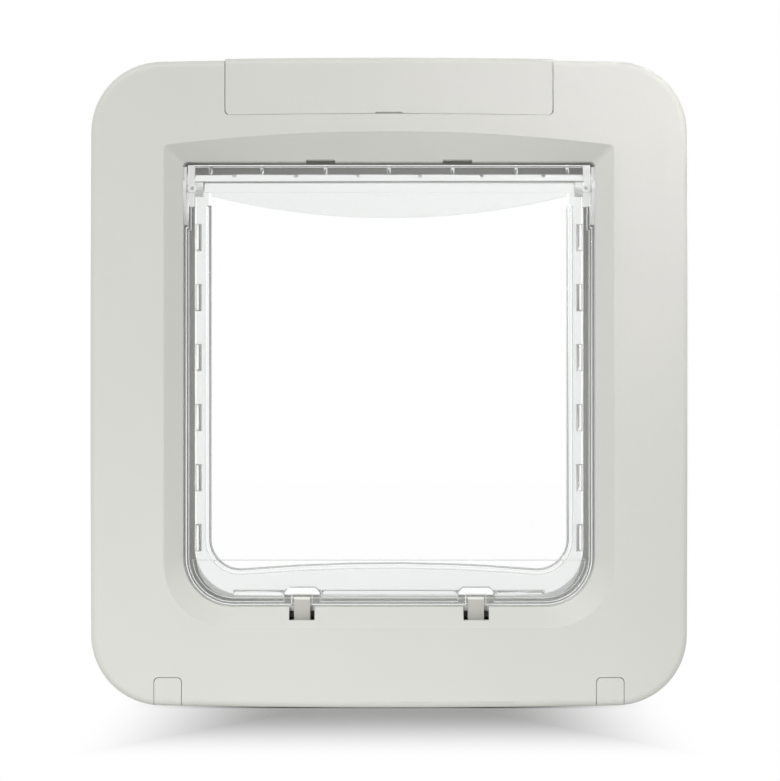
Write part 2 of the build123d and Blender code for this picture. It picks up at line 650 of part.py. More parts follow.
# Flap: thin pane inside a lip, with a ribbed hinge beam, bead, side blocks, foot bar and two keepers
pane_face = FLAP_BACK + PANE
lip_rise = FLAP_FRONT - pane_face
rib_length = FLAP_TOP - TOP_LIP - BARREL_HIGH + 2 * RIB_OVERLAP
with BuildPart() as flap:
    with BuildSketch(from_door(FLAP_BACK)):
        add(flap_outline.sketch)
    extrude(amount=PANE)
    # Lip round the edge, thinner along the top
    with BuildSketch(from_door(pane_face)) as lip_ring:
        add(flap_outline.sketch)
        offset(flap_outline.sketch, amount=-LIP, kind=Kind.INTERSECTION, mode=Mode.SUBTRACT)
        with Locations((0, FLAP_TOP - LIP)):
            Rectangle(2 * (FLAP_NECK_HALF - LIP), 2 * (LIP - TOP_LIP), mode=Mode.SUBTRACT)
    extrude(amount=lip_rise)
    # Hinge barrel along the beam and the flat band under it
    with BuildSketch(from_door(pane_face)):
        with Locations((0, (BARREL_LOW + BARREL_HIGH) / 2)):
            Rectangle(2 * FLAP_NECK_HALF - LIP, BARREL_HIGH - BARREL_LOW)
    extrude(amount=lip_rise)
    with BuildSketch(from_door(pane_face)):
        with Locations((0, (BARREL_LOW + WINDOW_SHOULDER) / 2)):
            Rectangle(2 * FLAP_NECK_HALF - LIP, BARREL_LOW - WINDOW_SHOULDER)
    extrude(amount=lip_rise / 2)
    # Ribs across the beam's channel, and nicks in the barrel between them
    with BuildSketch(from_door(pane_face)):
        with Locations((0, (BARREL_HIGH + FLAP_TOP - TOP_LIP) / 2)):
            with GridLocations(RIB_STEP, 0, 5, 1):
                Rectangle(RIB_WIDTH, rib_length)
            with Locations((-OUTER_RIB, 0), (OUTER_RIB, 0)):
                Rectangle(RIB_WIDTH, rib_length)
    extrude(amount=lip_rise - RIB_SINK)
    with BuildSketch(from_door(FLAP_FRONT - BARREL_NICK_DEPTH)):
        with Locations((0, (BARREL_NICK_LOW + BARREL_HIGH + RIB_OVERLAP) / 2)):
            with GridLocations(BARREL_NICK_STEP, 0, 6, 1):
                Rectangle(BARREL_NICK_WIDTH, BARREL_HIGH + RIB_OVERLAP - BARREL_NICK_LOW)
    extrude(amount=2 * BARREL_NICK_DEPTH, mode=Mode.SUBTRACT)
    # Bead round the window's sides and foot
    with BuildSketch(from_door(pane_face)):
        offset(window_outline.sketch, amount=BEAD_WIDTH, mode=Mode.ADD)
        add(window_outline.sketch, mode=Mode.SUBTRACT)
        with Locations((0, (BEAD_TOP + FLAP_TOP) / 2)):
            Rectangle(2 * FLAP_HALF, FLAP_TOP - BEAD_TOP, mode=Mode.SUBTRACT)
    extrude(amount=BEAD_RISE)
    # Brow under the beam
    with BuildSketch(from_door(pane_face)):
        with BuildLine():
            ThreePointArc((-WINDOW_HALF, BROW_EDGE), (0, BROW_DROP), (WINDOW_HALF, BROW_EDGE))
            Polyline(
                (WINDOW_HALF, BROW_EDGE),
                (WINDOW_HALF, WINDOW_TOP),
                (-WINDOW_HALF, WINDOW_TOP),
                (-WINDOW_HALF, BROW_EDGE),
            )
        make_face()
    extrude(amount=BROW_RISE)
    # Blocks along both sides
    with BuildSketch(from_door(pane_face)):
        for side in (-1, 1):
            with Locations((side * BLOCK_CENTRE, BLOCK_MIDDLE)):
                with GridLocations(0, BLOCK_STEP, 1, BLOCK_COUNT):
                    Rectangle(BLOCK_WIDTH, BLOCK_LENGTH)
    extrude(amount=lip_rise - RIB_SINK)
    # Foot bar, keepers and end blocks of the beam
    with BuildSketch(from_door(pane_face)):
        with Locations((0, (FOOT_BAR_LOW + FOOT_BAR_HIGH) / 2)):
            Rectangle(2 * (FLAP_HALF - FLAP_LOWER_RADIUS), FOOT_BAR_HIGH - FOOT_BAR_LOW)
    extrude(amount=BEAD_RISE)
    with BuildSketch(from_door(pane_face)) as keepers:
        with Locations(*both_sides([(LATCH_X, (KEEPER_TOP + FLAP_BOTTOM) / 2)])):
            Rectangle(KEEPER_WIDTH, KEEPER_TOP - FLAP_BOTTOM)
        chamfer(keepers.vertices().group_by(Axis.Y)[-1], KEEPER_CORNER)
    extrude(amount=lip_rise)
    with BuildSketch(from_door(pane_face)):
        with Locations(*both_sides([((END_BLOCK_START + FLAP_NECK_HALF) / 2, (END_BLOCK_LOW + FLAP_TOP) / 2)])):
            Rectangle(FLAP_NECK_HALF - END_BLOCK_START, FLAP_TOP - END_BLOCK_LOW)
    extrude(amount=lip_rise)
    # Round knuckles about the hinge line
    for side in (-1, 1):
        with BuildSketch(section_at(side * KNUCKLE_START)):
            with Locations((HINGE_DEPTH, HINGE_HEIGHT)):
                Circle(KNUCKLE_RADIUS)
        extrude(amount=-side * (FLAP_NECK_HALF - KNUCKLE_START))
    # Small round bosses on the knuckles, in front of the pins
    with BuildSketch(from_door(HINGE_DEPTH)):
        with Locations(*both_sides([(SIGHT_BOSS_X, HINGE_HEIGHT)])):
            Circle(SIGHT_BOSS_RADIUS)
    extrude(amount=SIGHT_BOSS_FRONT - HINGE_DEPTH)
    # Thicker foot on the outdoor side
    with BuildSketch(from_door(FLAP_BACK - FOOT_PAD)) as foot_pad:
        offset(flap_outline.sketch, amount=-FOOT_PAD_INSET, mode=Mode.ADD)
        with Locations((0, (FOOT_STEP + FLAP_TOP) / 2)):
            Rectangle(2 * FLAP_HALF, FLAP_TOP - FOOT_STEP, mode=Mode.SUBTRACT)
    extrude(amount=FOOT_PAD)
    # Keeper pockets and bores for the pins
    with BuildSketch(from_door(KEEPER_POCKET_BACK)):
        with Locations(*both_sides([(LATCH_X, FLAP_BOTTOM)])):
            Rectangle(KEEPER_POCKET_WIDTH, 2 * (KEEPER_POCKET_TOP - FLAP_BOTTOM))
    extrude(amount=FLAP_FRONT - KEEPER_POCKET_BACK, mode=Mode.SUBTRACT)
    for side in (-1, 1):
        with BuildSketch(section_at(side * PIN_BORE_START)):
            with Locations((HINGE_DEPTH, HINGE_HEIGHT)):
                Circle(PIN_BORE_RADIUS)
        extrude(amount=-side * PIN_BORE_LENGTH, mode=Mode.SUBTRACT)
    # Sight holes down to the pins
    with BuildSketch(from_door(HINGE_DEPTH)):
        with Locations(*both_sides([(SIGHT_BOSS_X, HINGE_HEIGHT)])):
            Circle(SIGHT_HOLE_RADIUS)
    extrude(amount=2 * KNUCKLE_RADIUS, mode=Mode.SUBTRACT)
flap.part.label = "flap"
export_step(flap.part, "parts/flap.step")

# Hinge brackets: clear drop-shaped ears against the sides of the opening, with a head up to its corner
for side, hand in ((-1, "left"), (1, "right")):
    with BuildPart() as hinge_bracket:
        with BuildSketch(section_at(side * EAR_INNER)):
            with BuildLine():
                head = CenterArc((HINGE_DEPTH, HINGE_HEIGHT), EAR_RADIUS, 0, 180)
                Line(head @ 1, (HINGE_DEPTH - EAR_TIP_HALF, EAR_TIP))
                Line((HINGE_DEPTH - EAR_TIP_HALF, EAR_TIP), (HINGE_DEPTH + EAR_TIP_HALF, EAR_TIP))
                Line((HINGE_DEPTH + EAR_TIP_HALF, EAR_TIP), head @ 0)
            make_face()
            with Locations(((EAR_HEAD_BACK + EAR_HEAD_FRONT) / 2, (HINGE_HEIGHT + EAR_HEAD_TOP) / 2)):
                Rectangle(EAR_HEAD_FRONT - EAR_HEAD_BACK, EAR_HEAD_TOP - HINGE_HEIGHT)
            with Locations((HINGE_DEPTH, HINGE_HEIGHT)):
                Circle(PIN_RADIUS, mode=Mode.SUBTRACT)
        extrude(amount=-side * (OPENING_HALF - EAR_INNER))
    hinge_bracket.part.label = f"hinge_bracket_{hand}"
    export_step(hinge_bracket.part, f"parts/hinge_bracket_{hand}.step")

# Hinge pins
with BuildPart() as hinge_pins:
    for side in (-1, 1):
        with BuildSketch(section_at(side * PIN_START)):
            with Locations((HINGE_DEPTH, HINGE_HEIGHT)):
                Circle(PIN_RADIUS)
        extrude(amount=-side * (PIN_END - PIN_START))
hinge_pins.part.label = "hinge_pins"
export_step(hinge_pins.part, "parts/hinge_pins.step")

# Lock tongues: flat blades with a rounded nose, standing on the lock bar
for side, hand in ((-1, "left"), (1, "right")):
    with BuildPart() as latch:
        with BuildSketch(section_at(side * LATCH_X)) as blade:
            with Locations(((LATCH_BACK + LATCH_FRONT) / 2, (LATCH_TOP + LATCH_FOOT) / 2)):
                Rectangle(LATCH_FRONT - LATCH_BACK, LATCH_TOP - LATCH_FOOT)
            fillet(blade.vertices().group_by(Axis.Y)[-1], LATCH_NOSE_RADIUS)
        extrude(amount=LATCH_WIDTH / 2, both=True)
    latch.part.label = f"latch_{hand}"
    export_step(latch.part, f"parts/latch_{hand}.step")

# Toothed wheel and rack that raise and lower the tongues
pitch_radius = GEAR_MODULE * PINION_TEETH / 2
base_radius = pitch_radius * math.cos(PRESSURE_ANGLE)
tooth_step = math.pi * GEAR_MODULE
rack_line = PINION_DEPTH + pitch_radius


def flank_point(radius, hand):
    """Give the point of an involute flank at this radius, on a tooth that points along x."""
    unwound = math.acos(base_radius / radius)
    slack = BACKLASH / (2 * pitch_radius)
    half_angle = math.pi / (2 * PINION_TEETH) - slack
    half_angle += math.tan(PRESSURE_ANGLE) - PRESSURE_ANGLE - math.tan(unwound) + unwound
    return (radius * math.cos(half_angle), hand * radius * math.sin(half_angle))


with BuildSketch() as pinion_tooth:
    tip_radius = pitch_radius + ADDENDUM
    middle_radius = (base_radius + tip_radius) / 2
    with BuildLine():
        upper = ThreePointArc(*[flank_point(r, 1) for r in (base_radius, middle_radius, tip_radius)])
        lower = ThreePointArc(*[flank_point(r, -1) for r in (base_radius, middle_radius, tip_radius)])
        ThreePointArc(upper @ 1, (tip_radius, 0), lower @ 1)
        Polyline(upper @ 0, (base_radius / 2, 0), lower @ 0)
    make_face()

with BuildPart() as lock_pinion:
    with BuildSketch(section_at(PINION_X)):
        with Locations((PINION_DEPTH, PINION_HEIGHT)):
            Circle(pitch_radius - DEDENDUM)
            with PolarLocations(0, PINION_TEETH):
                add(pinion_tooth.sketch)
            Circle(SHAFT_RADIUS, mode=Mode.SUBTRACT)
    extrude(amount=PINION_WIDTH / 2, both=True)
lock_pinion.part.label = "lock_pinion"
export_step(lock_pinion.part, "parts/lock_pinion.step")

shaft_start = PINION_X - PINION_WIDTH / 2 - SHAFT_OVERHANG
with BuildPart() as motor_shaft:
    with BuildSketch(section_at(shaft_start)):
        with Locations((PINION_DEPTH, PINION_HEIGHT)):
            Circle(SHAFT_RADIUS)
    extrude(amount=shaft_start - MOTOR_START - SHAFT_SEAT)
motor_shaft.part.label = "motor_shaft"
export_step(motor_shaft.part, "parts/motor_shaft.step")

# Geared motor, a sealed unit: square gearbox and a round can with two flats
with BuildPart() as lock_motor:
    with BuildSketch(section_at(MOTOR_START)):
        with Locations((PINION_DEPTH, PINION_HEIGHT)):
            Rectangle(2 * MOTOR_RADIUS, 2 * MOTOR_FLAT)
    extrude(amount=-GEARBOX_LENGTH)
    with BuildSketch(section_at(MOTOR_START + GEARBOX_LENGTH)):
        with Locations((PINION_DEPTH, PINION_HEIGHT)):
            Circle(MOTOR_RADIUS)
            Rectangle(3 * MOTOR_RADIUS, 2 * MOTOR_FLAT, mode=Mode.INTERSECT)
    extrude(amount=GEARBOX_LENGTH - MOTOR_LENGTH)
    with BuildSketch(section_at(MOTOR_START)):
        with Locations((PINION_DEPTH, PINION_HEIGHT)):
            Circle(SHAFT_RADIUS + SHAFT_PLAY)
    extrude(amount=-SHAFT_SEAT - 4 * SHAFT_PLAY, mode=Mode.SUBTRACT)
lock_motor.part.label = "lock_motor"
export_step(lock_motor.part, "parts/lock_motor.step")

# Lock bar: cross bar under the tongues, with the rack on a stem below it
bar_bottom = LATCH_FOOT - BAR_HEIGHT
rack_bottom = PINION_HEIGHT - (RACK_TEETH / 2 - 1) * tooth_step - 0.3
with BuildSketch() as rack_tooth:
    half_pitch = tooth_step / 4 - BACKLASH / 2
    half_root = half_pitch + DEDENDUM * math.tan(PRESSURE_ANGLE)
    half_tip = half_pitch - ADDENDUM * math.tan(PRESSURE_ANGLE)
    with BuildLine():
        Polyline(
            (DEDENDUM + 0.5, -half_root),
            (DEDENDUM, -half_root),
            (-ADDENDUM, -half_tip),
            (-ADDENDUM, half_tip),
            (DEDENDUM, half_root),
            (DEDENDUM + 0.5, half_root),
            close=True,
        )
    make_face()

with BuildPart() as lock_bar:
    with BuildSketch(from_door(BAR_BACK)):
        with Locations((0, LATCH_FOOT - BAR_HEIGHT / 2)):
            Rectangle(2 * BAR_HALF, BAR_HEIGHT)
    extrude(amount=BAR_FRONT - BAR_BACK)
    with BuildSketch(section_at(PINION_X)):
        with Locations(((rack_line + DEDENDUM + BAR_FRONT) / 2, (bar_bottom + rack_bottom) / 2)):
            Rectangle(BAR_FRONT - rack_line - DEDENDUM, bar_bottom - rack_bottom)
        for step in range(RACK_TEETH):
            with Locations((rack_line, PINION_HEIGHT + (step - RACK_TEETH / 2 + 1.5) * tooth_step)):
                add(rack_tooth.sketch)
    extrude(amount=RACK_WIDTH / 2, both=True)
lock_bar.part.label = "lock_bar"
export_step(lock_bar.part, "parts/lock_bar.step")

# Lock chassis: back plate, a channel for each end of the bar, and ribs that seat the motor
chassis_front = CHASSIS_BACK + CHASSIS_PLATE
with BuildPart() as lock_chassis:
    with BuildSketch(from_door(CHASSIS_BACK)) as chassis_plate:
        with Locations((0, (CHASSIS_TOP + CHASSIS_BOTTOM) / 2)):
            Rectangle(2 * CHASSIS_HALF, CHASSIS_TOP - CHASSIS_BOTTOM)
        fillet(chassis_plate.vertices(), CHASSIS_CORNER)
    extrude(amount=CHASSIS_PLATE)
    with BuildSketch(from_door(chassis_front)):
        for side in (-1, 1):
            with Locations((side * (RAIL_INNER + RAIL_OUTER) / 2, (CHASSIS_TOP + RAIL_BOTTOM) / 2)):
                Rectangle(RAIL_OUTER - RAIL_INNER, CHASSIS_TOP - RAIL_BOTTOM)
    extrude(amount=RAIL_FRONT - chassis_front)
    for x in MOTOR_RIBS:
        with BuildSketch(section_at(x)):
            with Locations((chassis_front + MOTOR_RIB_DEPTH / 2, PINION_HEIGHT)):
                Rectangle(MOTOR_RIB_DEPTH, 2 * (MOTOR_FLAT + MOTOR_RIB_EDGE))
            with Locations((PINION_DEPTH, PINION_HEIGHT)):
                Rectangle(2 * MOTOR_RADIUS, 2 * MOTOR_FLAT, mode=Mode.SUBTRACT)
        extrude(amount=-MOTOR_RIB_THICKNESS)
    with BuildSketch(from_door(BAR_BACK - RAIL_GAP)):
        with Locations((0, (CHASSIS_TOP + RAIL_BOTTOM) / 2)):
            Rectangle(2 * (BAR_HALF + RAIL_GAP), CHASSIS_TOP - RAIL_BOTTOM)
    extrude(amount=BAR_FRONT - BAR_BACK + 2 * RAIL_GAP, mode=Mode.SUBTRACT)
    with BuildSketch(from_door(CHASSIS_BACK)):
        with Locations(*CHASSIS_SCREWS):
            Circle(SMALL_HOLE_RADIUS)
    extrude(amount=CHASSIS_PLATE, mode=Mode.SUBTRACT)
lock_chassis.part.label = "lock_chassis"
export_step(lock_chassis.part, "parts/lock_chassis.step")

# Control board, with chips, a connector, a buzzer and capacitors on its room side
board_front = BOARD_BACK + BOARD_THICKNESS
with BuildPart() as control_board:
    with BuildSketch(from_door(BOARD_BACK)) as board_outline:
        with Locations(BOARD_CENTRE):
            Rectangle(BOARD_WIDTH, BOARD_HEIGHT)
        fillet(board_outline.vertices(), BOARD_CORNER)
        with Locations(*BOARD_SCREWS):
            Circle(SMALL_HOLE_RADIUS, mode=Mode.SUBTRACT)
    extrude(amount=BOARD_THICKNESS)
control_board.part.label = "control_board"
export_step(control_board.part, "parts/control_board.step")

with BuildPart() as board_components:
    with BuildSketch(from_door(board_front)):
        with Locations(PROCESSOR_CENTRE):
            Rectangle(PROCESSOR_SIZE, PROCESSOR_SIZE)
        with Locations(*CHIP_CENTRES):
            Rectangle(CHIP_WIDTH, CHIP_HEIGHT)
    extrude(amount=CHIP_THICKNESS)
    with BuildSketch(from_door(board_front)):
        with Locations(CONNECTOR_CENTRE):
            Rectangle(CONNECTOR_WIDTH, CONNECTOR_HEIGHT)
    extrude(amount=CONNECTOR_THICKNESS)
    with BuildSketch(from_door(board_front)):
        with Locations(*CAPACITOR_CENTRES):
            Circle(CAPACITOR_RADIUS)
    extrude(amount=CAPACITOR_THICKNESS)
    with BuildSketch(from_door(board_front)):
        with Locations(BUZZER_CENTRE):
            Circle(BUZZER_RADIUS)
    extrude(amount=BUZZER_THICKNESS)
board_components.part.label = "board_components"
export_step(board_components.part, "parts/board_components.step")


def pan_screws(points, seat, shank_radius, shank_length, head_radius, head_height):
    """Make pan-head screws at these points, with the heads' undersides on the seat."""
    with BuildPart() as screws:
        with BuildSketch(from_door(seat)):
            with Locations(*points):
                Circle(shank_radius)
        extrude(amount=-shank_length)
        with BuildSketch(from_door(seat)):
            with Locations(*points):
                Circle(head_radius)
        extrude(amount=head_height)
        rims = screws.edges().filter_by(GeomType.CIRCLE).group_by(Axis.Y)[0]
        chamfer(rims, HEAD_BEVEL * head_height)
    return screws


# Four long screws through the door, with a cross recess, and small ones for the board and the chassis
long_screws = pan_screws(
    fixing_points, FIXING_SEAT, FIXING_RADIUS, FIXING_SEAT - FIXING_TIP, FIXING_HEAD_RADIUS, FIXING_HEAD_HEIGHT
)
with BuildPart() as fixing_screws:
    add(long_screws.part)
    with BuildSketch(from_door(FIXING_SEAT + FIXING_HEAD_HEIGHT)):
        with Locations(*fixing_points):
            Rectangle(CROSS_LENGTH, CROSS_WIDTH)
            Rectangle(CROSS_WIDTH, CROSS_LENGTH)
    extrude(amount=-CROSS_DEPTH, mode=Mode.SUBTRACT)
fixing_screws.part.label = "fixing_screws"
export_step(fixing_screws.part, "parts/fixing_screws.step")

small_screw = (SMALL_SCREW_RADIUS, SMALL_SCREW_LENGTH, SMALL_HEAD_RADIUS, SMALL_HEAD_HEIGHT)
board_screws = pan_screws(BOARD_SCREWS, board_front, *small_screw)
board_screws.part.label = "board_screws"
export_step(board_screws.part, "parts/board_screws.step")

chassis_screws = pan_screws(CHASSIS_SCREWS, chassis_front, *small_screw)
chassis_screws.part.label = "chassis_screws"
export_step(chassis_screws.part, "parts/chassis_screws.step")

# Case screws go in from the door side, with their heads sunk in the rear cover
with BuildPart() as case_screws:
    with BuildSketch(from_door(CASE_SEAT)):
        with Locations(*case_points):
            Circle(CASE_SCREW_RADIUS)
    extrude(amount=CASE_SCREW_LENGTH)
    with BuildSketch(from_door(CASE_SEAT)):
        with Locations(*case_points):
            Circle(CASE_HEAD_RADIUS)
    extrude(amount=-CASE_HEAD_HEIGHT)
case_screws.part.label = "case_screws"
export_step(case_screws.part, "parts/case_screws.step")

# Battery tray: a trough under the cells, cut round them, with end walls and the walls of the pod
surround_slope = (SURROUND_CROWN - OPENING_TOP) / (FRAME_DEPTH - OPENING_DEPTH)
tray_toe = OPENING_DEPTH - WALL - TRAY_STEP + (TRAY_BOTTOM - OPENING_TOP) / surround_slope
with BuildSketch() as tray_section:
    with BuildLine():
        Polyline(
            (TRAY_BACK, TRAY_BOTTOM),
            (tray_toe, TRAY_BOTTOM),
            (TRAY_FRONT - TRAY_STEP, TRAY_RIM - 1.0),
            (TRAY_FRONT, TRAY_RIM),
            (TRAY_BACK, TRAY_RIM),
            close=True,
        )
    make_face()

with BuildPart() as battery_tray:
    with BuildSketch(section_at(0)):
        add(tray_section.sketch)
    extrude(amount=TRAY_END + POD_WALL, both=True)
    with BuildSketch(section_at(0)):
        with Locations((CELL_DEPTH, CELL_HEIGHT)):
            Circle(CELL_RADIUS + CELL_PLAY)
    extrude(amount=TRAY_END, both=True, mode=Mode.SUBTRACT)
    for x in (-TRAY_END - POD_WALL, -POD_HALF, POD_HALF - POD_WALL, TRAY_END):
        wall_top = POD_TOP if abs(x) < CELL_START else TRAY_WALL_TOP
        with BuildSketch(section_at(x)):
            add(tray_section.sketch)
            with Locations(((TRAY_BACK + TRAY_FRONT) / 2, (TRAY_RIM + wall_top) / 2)):
                Rectangle(TRAY_FRONT - TRAY_BACK, wall_top - TRAY_RIM)
        extrude(amount=-POD_WALL)
battery_tray.part.label = "battery_tray"
export_step(battery_tray.part, "parts/battery_tray.step")

# Size C cells, with the positive nub on the right-hand end
for number in range(4):
    side = -1 if number < 2 else 1
    start = side * (CELL_START + CELL_SPACING * (number % 2)) - (CELL_LENGTH if side < 0 else 0)
    with BuildPart() as battery_cell:
        with BuildSketch(section_at(start)):
            with Locations((CELL_DEPTH, CELL_HEIGHT)):
                Circle(CELL_RADIUS)
        extrude(amount=CELL_NUB_LENGTH - CELL_LENGTH)
        chamfer(battery_cell.edges().filter_by(GeomType.CIRCLE), CELL_BEVEL)
        with BuildSketch(section_at(start + CELL_LENGTH - CELL_NUB_LENGTH)):
            with Locations((CELL_DEPTH, CELL_HEIGHT)):
                Circle(CELL_NUB_RADIUS)
        extrude(amount=-CELL_NUB_LENGTH)
    battery_cell.part.label = f"battery_cell_{number + 1}"
    export_step(battery_cell.part, f"parts/battery_cell_{number + 1}.step")

# Contacts: flat plates on the pod's walls, and plates with a pressed cone at the outer ends
cell_row_end = CELL_START + CELL_SPACING + CELL_LENGTH
with BuildPart() as battery_contacts:
    for side in (-1, 1):
        for x in (POD_HALF, TRAY_END - CONTACT_THICKNESS):
            with BuildSketch(section_at(side * x)):
                with Locations((CELL_DEPTH, CELL_HEIGHT)):
                    Rectangle(CONTACT_WIDTH, CONTACT_HEIGHT)
            extrude(amount=-side * CONTACT_THICKNESS)
        with BuildSketch(section_at(side * (TRAY_END - CONTACT_THICKNESS))):
            with Locations((CELL_DEPTH, CELL_HEIGHT)):
                Circle(CONE_RADIUS)
        with BuildSketch(section_at(side * cell_row_end)):
            with Locations((CELL_DEPTH, CELL_HEIGHT)):
                Circle(CONE_TIP_RADIUS)
        loft()
battery_contacts.part.label = "battery_contacts"
export_step(battery_contacts.part, "parts/battery_contacts.step")

# Button panel on the pod, with its board behind it
panel_half = POD_HALF - POD_WALL
display_seat = PANEL_DEPTH + PANEL_THICKNESS - DISPLAY_SINK
with BuildPart() as button_panel:
    with BuildSketch(from_door(PANEL_DEPTH)):
        with Locations((0, (PANEL_BOTTOM + POD_TOP) / 2)):
            Rectangle(2 * panel_half, POD_TOP - PANEL_BOTTOM)
        with Locations(*both_sides([(BUTTON_X, BUTTON_HEIGHT)])):
            Circle(BUTTON_RADIUS + BUTTON_PLAY, mode=Mode.SUBTRACT)
    extrude(amount=PANEL_THICKNESS)
    with BuildSketch(from_door(display_seat)):
        with Locations((0, DISPLAY_CENTRE)):
            Rectangle(DISPLAY_WIDTH, DISPLAY_HEIGHT)
    extrude(amount=DISPLAY_SINK, mode=Mode.SUBTRACT)
button_panel.part.label = "button_panel"
export_step(button_panel.part, "parts/button_panel.step")

with BuildPart() as display:
    with BuildSketch(from_door(display_seat)):
        with Locations((0, DISPLAY_CENTRE)):
            Rectangle(DISPLAY_WIDTH, DISPLAY_HEIGHT)
    extrude(amount=DISPLAY_THICKNESS)
display.part.label = "display"
export_step(display.part, "parts/display.step")

with BuildPart() as button_board:
    with BuildSketch(from_door(BUTTON_BOARD_BACK)):
        with Locations((0, (PANEL_BOTTOM + POD_TOP) / 2)):
            Rectangle(2 * panel_half, POD_TOP - PANEL_BOTTOM)
    extrude(amount=BOARD_THICKNESS)
button_board.part.label = "button_board"
export_step(button_board.part, "parts/button_board.step")

# Push buttons: a cap through the panel, a flange behind it and a short stem
button_back = PANEL_DEPTH - BUTTON_SINK
for x, purpose in ((-BUTTON_X, "memory"), (BUTTON_X, "settings")):
    with BuildPart() as push_button:
        with BuildSketch(from_door(button_back)):
            with Locations((x, BUTTON_HEIGHT)):
                Circle(BUTTON_RADIUS)
        extrude(amount=BUTTON_LENGTH)
        chamfer(push_button.edges().group_by(Axis.Y)[0], BUTTON_BEVEL)
        with BuildSketch(from_door(button_back)):
            with Locations((x, BUTTON_HEIGHT)):
                Circle(BUTTON_RADIUS + BUTTON_FLANGE)
        extrude(amount=BUTTON_FLANGE_THICKNESS)
        with BuildSketch(from_door(BUTTON_STEM_BACK)):
            with Locations((x, BUTTON_HEIGHT)):
                Circle(BUTTON_STEM_RADIUS)
        extrude(amount=button_back - BUTTON_STEM_BACK)
    push_button.part.label = f"{purpose}_button"
    export_step(push_button.part, f"parts/{purpose}_button.step")

# Battery cover: front and top in one bent piece, with a nail slot and two tongues under the frame's rim
cover_top_edge = frame_end(COVER_HALF) + COVER_PROUD
cover_depth = FRAME_DEPTH - BAY_BACK - COVER_GAP
with BuildPart() as battery_cover:
    with BuildSketch(from_door(BAY_BACK + COVER_GAP)) as cover_outline:
        with BuildLine():
            ThreePointArc(
                (-COVER_HALF, COVER_SEAM), (0, COVER_SEAM + COVER_SEAM_RISE), (COVER_HALF, COVER_SEAM)
            )
            Line((COVER_HALF, COVER_SEAM), (COVER_HALF, cover_top_edge))
            ThreePointArc(
                (COVER_HALF, cover_top_edge),
                (0, FRAME_HEIGHT / 2 + COVER_PROUD),
                (-COVER_HALF, cover_top_edge),
            )
            Line((-COVER_HALF, cover_top_edge), (-COVER_HALF, COVER_SEAM))
        make_face()
        fillet(cover_outline.vertices().group_by(Axis.Y)[0], COVER_CORNER_RADIUS)
    extrude(amount=cover_depth)
    top_front = battery_cover.faces().sort_by(Axis.Y)[0].edges().sort_by(Axis.Z)[-1]
    fillet(top_front, FRAME_EDGE_RADIUS)
    with BuildSketch(from_door(BAY_BACK + COVER_GAP)):
        with BuildLine():
            ThreePointArc(
                (COVER_HALF, cover_top_edge - COVER_THICKNESS),
                (0, FRAME_HEIGHT / 2 + COVER_PROUD - COVER_THICKNESS),
                (-COVER_HALF, cover_top_edge - COVER_THICKNESS),
            )
            Polyline(
                (-COVER_HALF, cover_top_edge - COVER_THICKNESS),
                (-COVER_HALF, COVER_SEAM - 1.0),
                (COVER_HALF, COVER_SEAM - 1.0),
                (COVER_HALF, cover_top_edge - COVER_THICKNESS),
            )
        make_face()
    extrude(amount=cover_depth - COVER_THICKNESS, mode=Mode.SUBTRACT)
    with BuildSketch(from_door(TONGUE_BACK)):
        with Locations(*[(x, TONGUE_TOP - TONGUE_THICKNESS / 2) for x in TONGUE_PLACES]):
            Rectangle(TONGUE_WIDTH, TONGUE_THICKNESS)
    extrude(amount=BAY_BACK + COVER_GAP + TONGUE_ROOT - TONGUE_BACK)
    with BuildSketch(from_door(BAY_BACK + COVER_GAP)):
        with Locations(*[(x, TONGUE_ROOT_TOP - TONGUE_ROOT_HEIGHT / 2) for x in TONGUE_PLACES]):
            Rectangle(TONGUE_WIDTH, TONGUE_ROOT_HEIGHT)
    extrude(amount=TONGUE_ROOT)
    with BuildSketch(from_door(FRAME_DEPTH - NAIL_SLOT_DEPTH)):
        with Locations((0, COVER_SEAM + COVER_SEAM_RISE)):
            Rectangle(NAIL_SLOT_WIDTH, 2 * NAIL_SLOT_HEIGHT)
    extrude(amount=NAIL_SLOT_DEPTH, mode=Mode.SUBTRACT)
battery_cover.part.label = "battery_cover"
export_step(battery_cover.part, "parts/battery_cover.step")

# Screw covers: caps cut from the housing's own form, so that they follow its edge
cap_floor = -FRAME_HEIGHT / 2 + CAP_LIP + CAP_THICKNESS
for side, hand in ((-1, "left"), (1, "right")):
    with BuildPart() as screw_cover:
        add(front_block.part)
        with BuildSketch(from_door(CAP_BACK)) as cap_outline:
            with Locations((side * FIXING_LOWER[0], CAP_TOP - CAP_LENGTH / 2)):
                Rectangle(CAP_WIDTH, CAP_LENGTH)
            fillet(cap_outline.vertices().group_by(Axis.Y)[-1], CAP_CORNER_RADIUS)
        extrude(amount=FRAME_DEPTH - CAP_BACK, mode=Mode.INTERSECT)
        with BuildSketch(from_door(CAP_BACK)):
            with Locations((side * FIXING_LOWER[0], cap_floor + CAP_LENGTH / 2)):
                Rectangle(2 * CAP_WIDTH, CAP_LENGTH)
        extrude(amount=FRAME_DEPTH - CAP_BACK - CAP_THICKNESS, mode=Mode.SUBTRACT)
    screw_cover.part.label = f"screw_cover_{hand}"
    export_step(screw_cover.part, f"parts/screw_cover_{hand}.step")
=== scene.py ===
import math
import bmesh
import bpy
from mathutils import Matrix, Vector


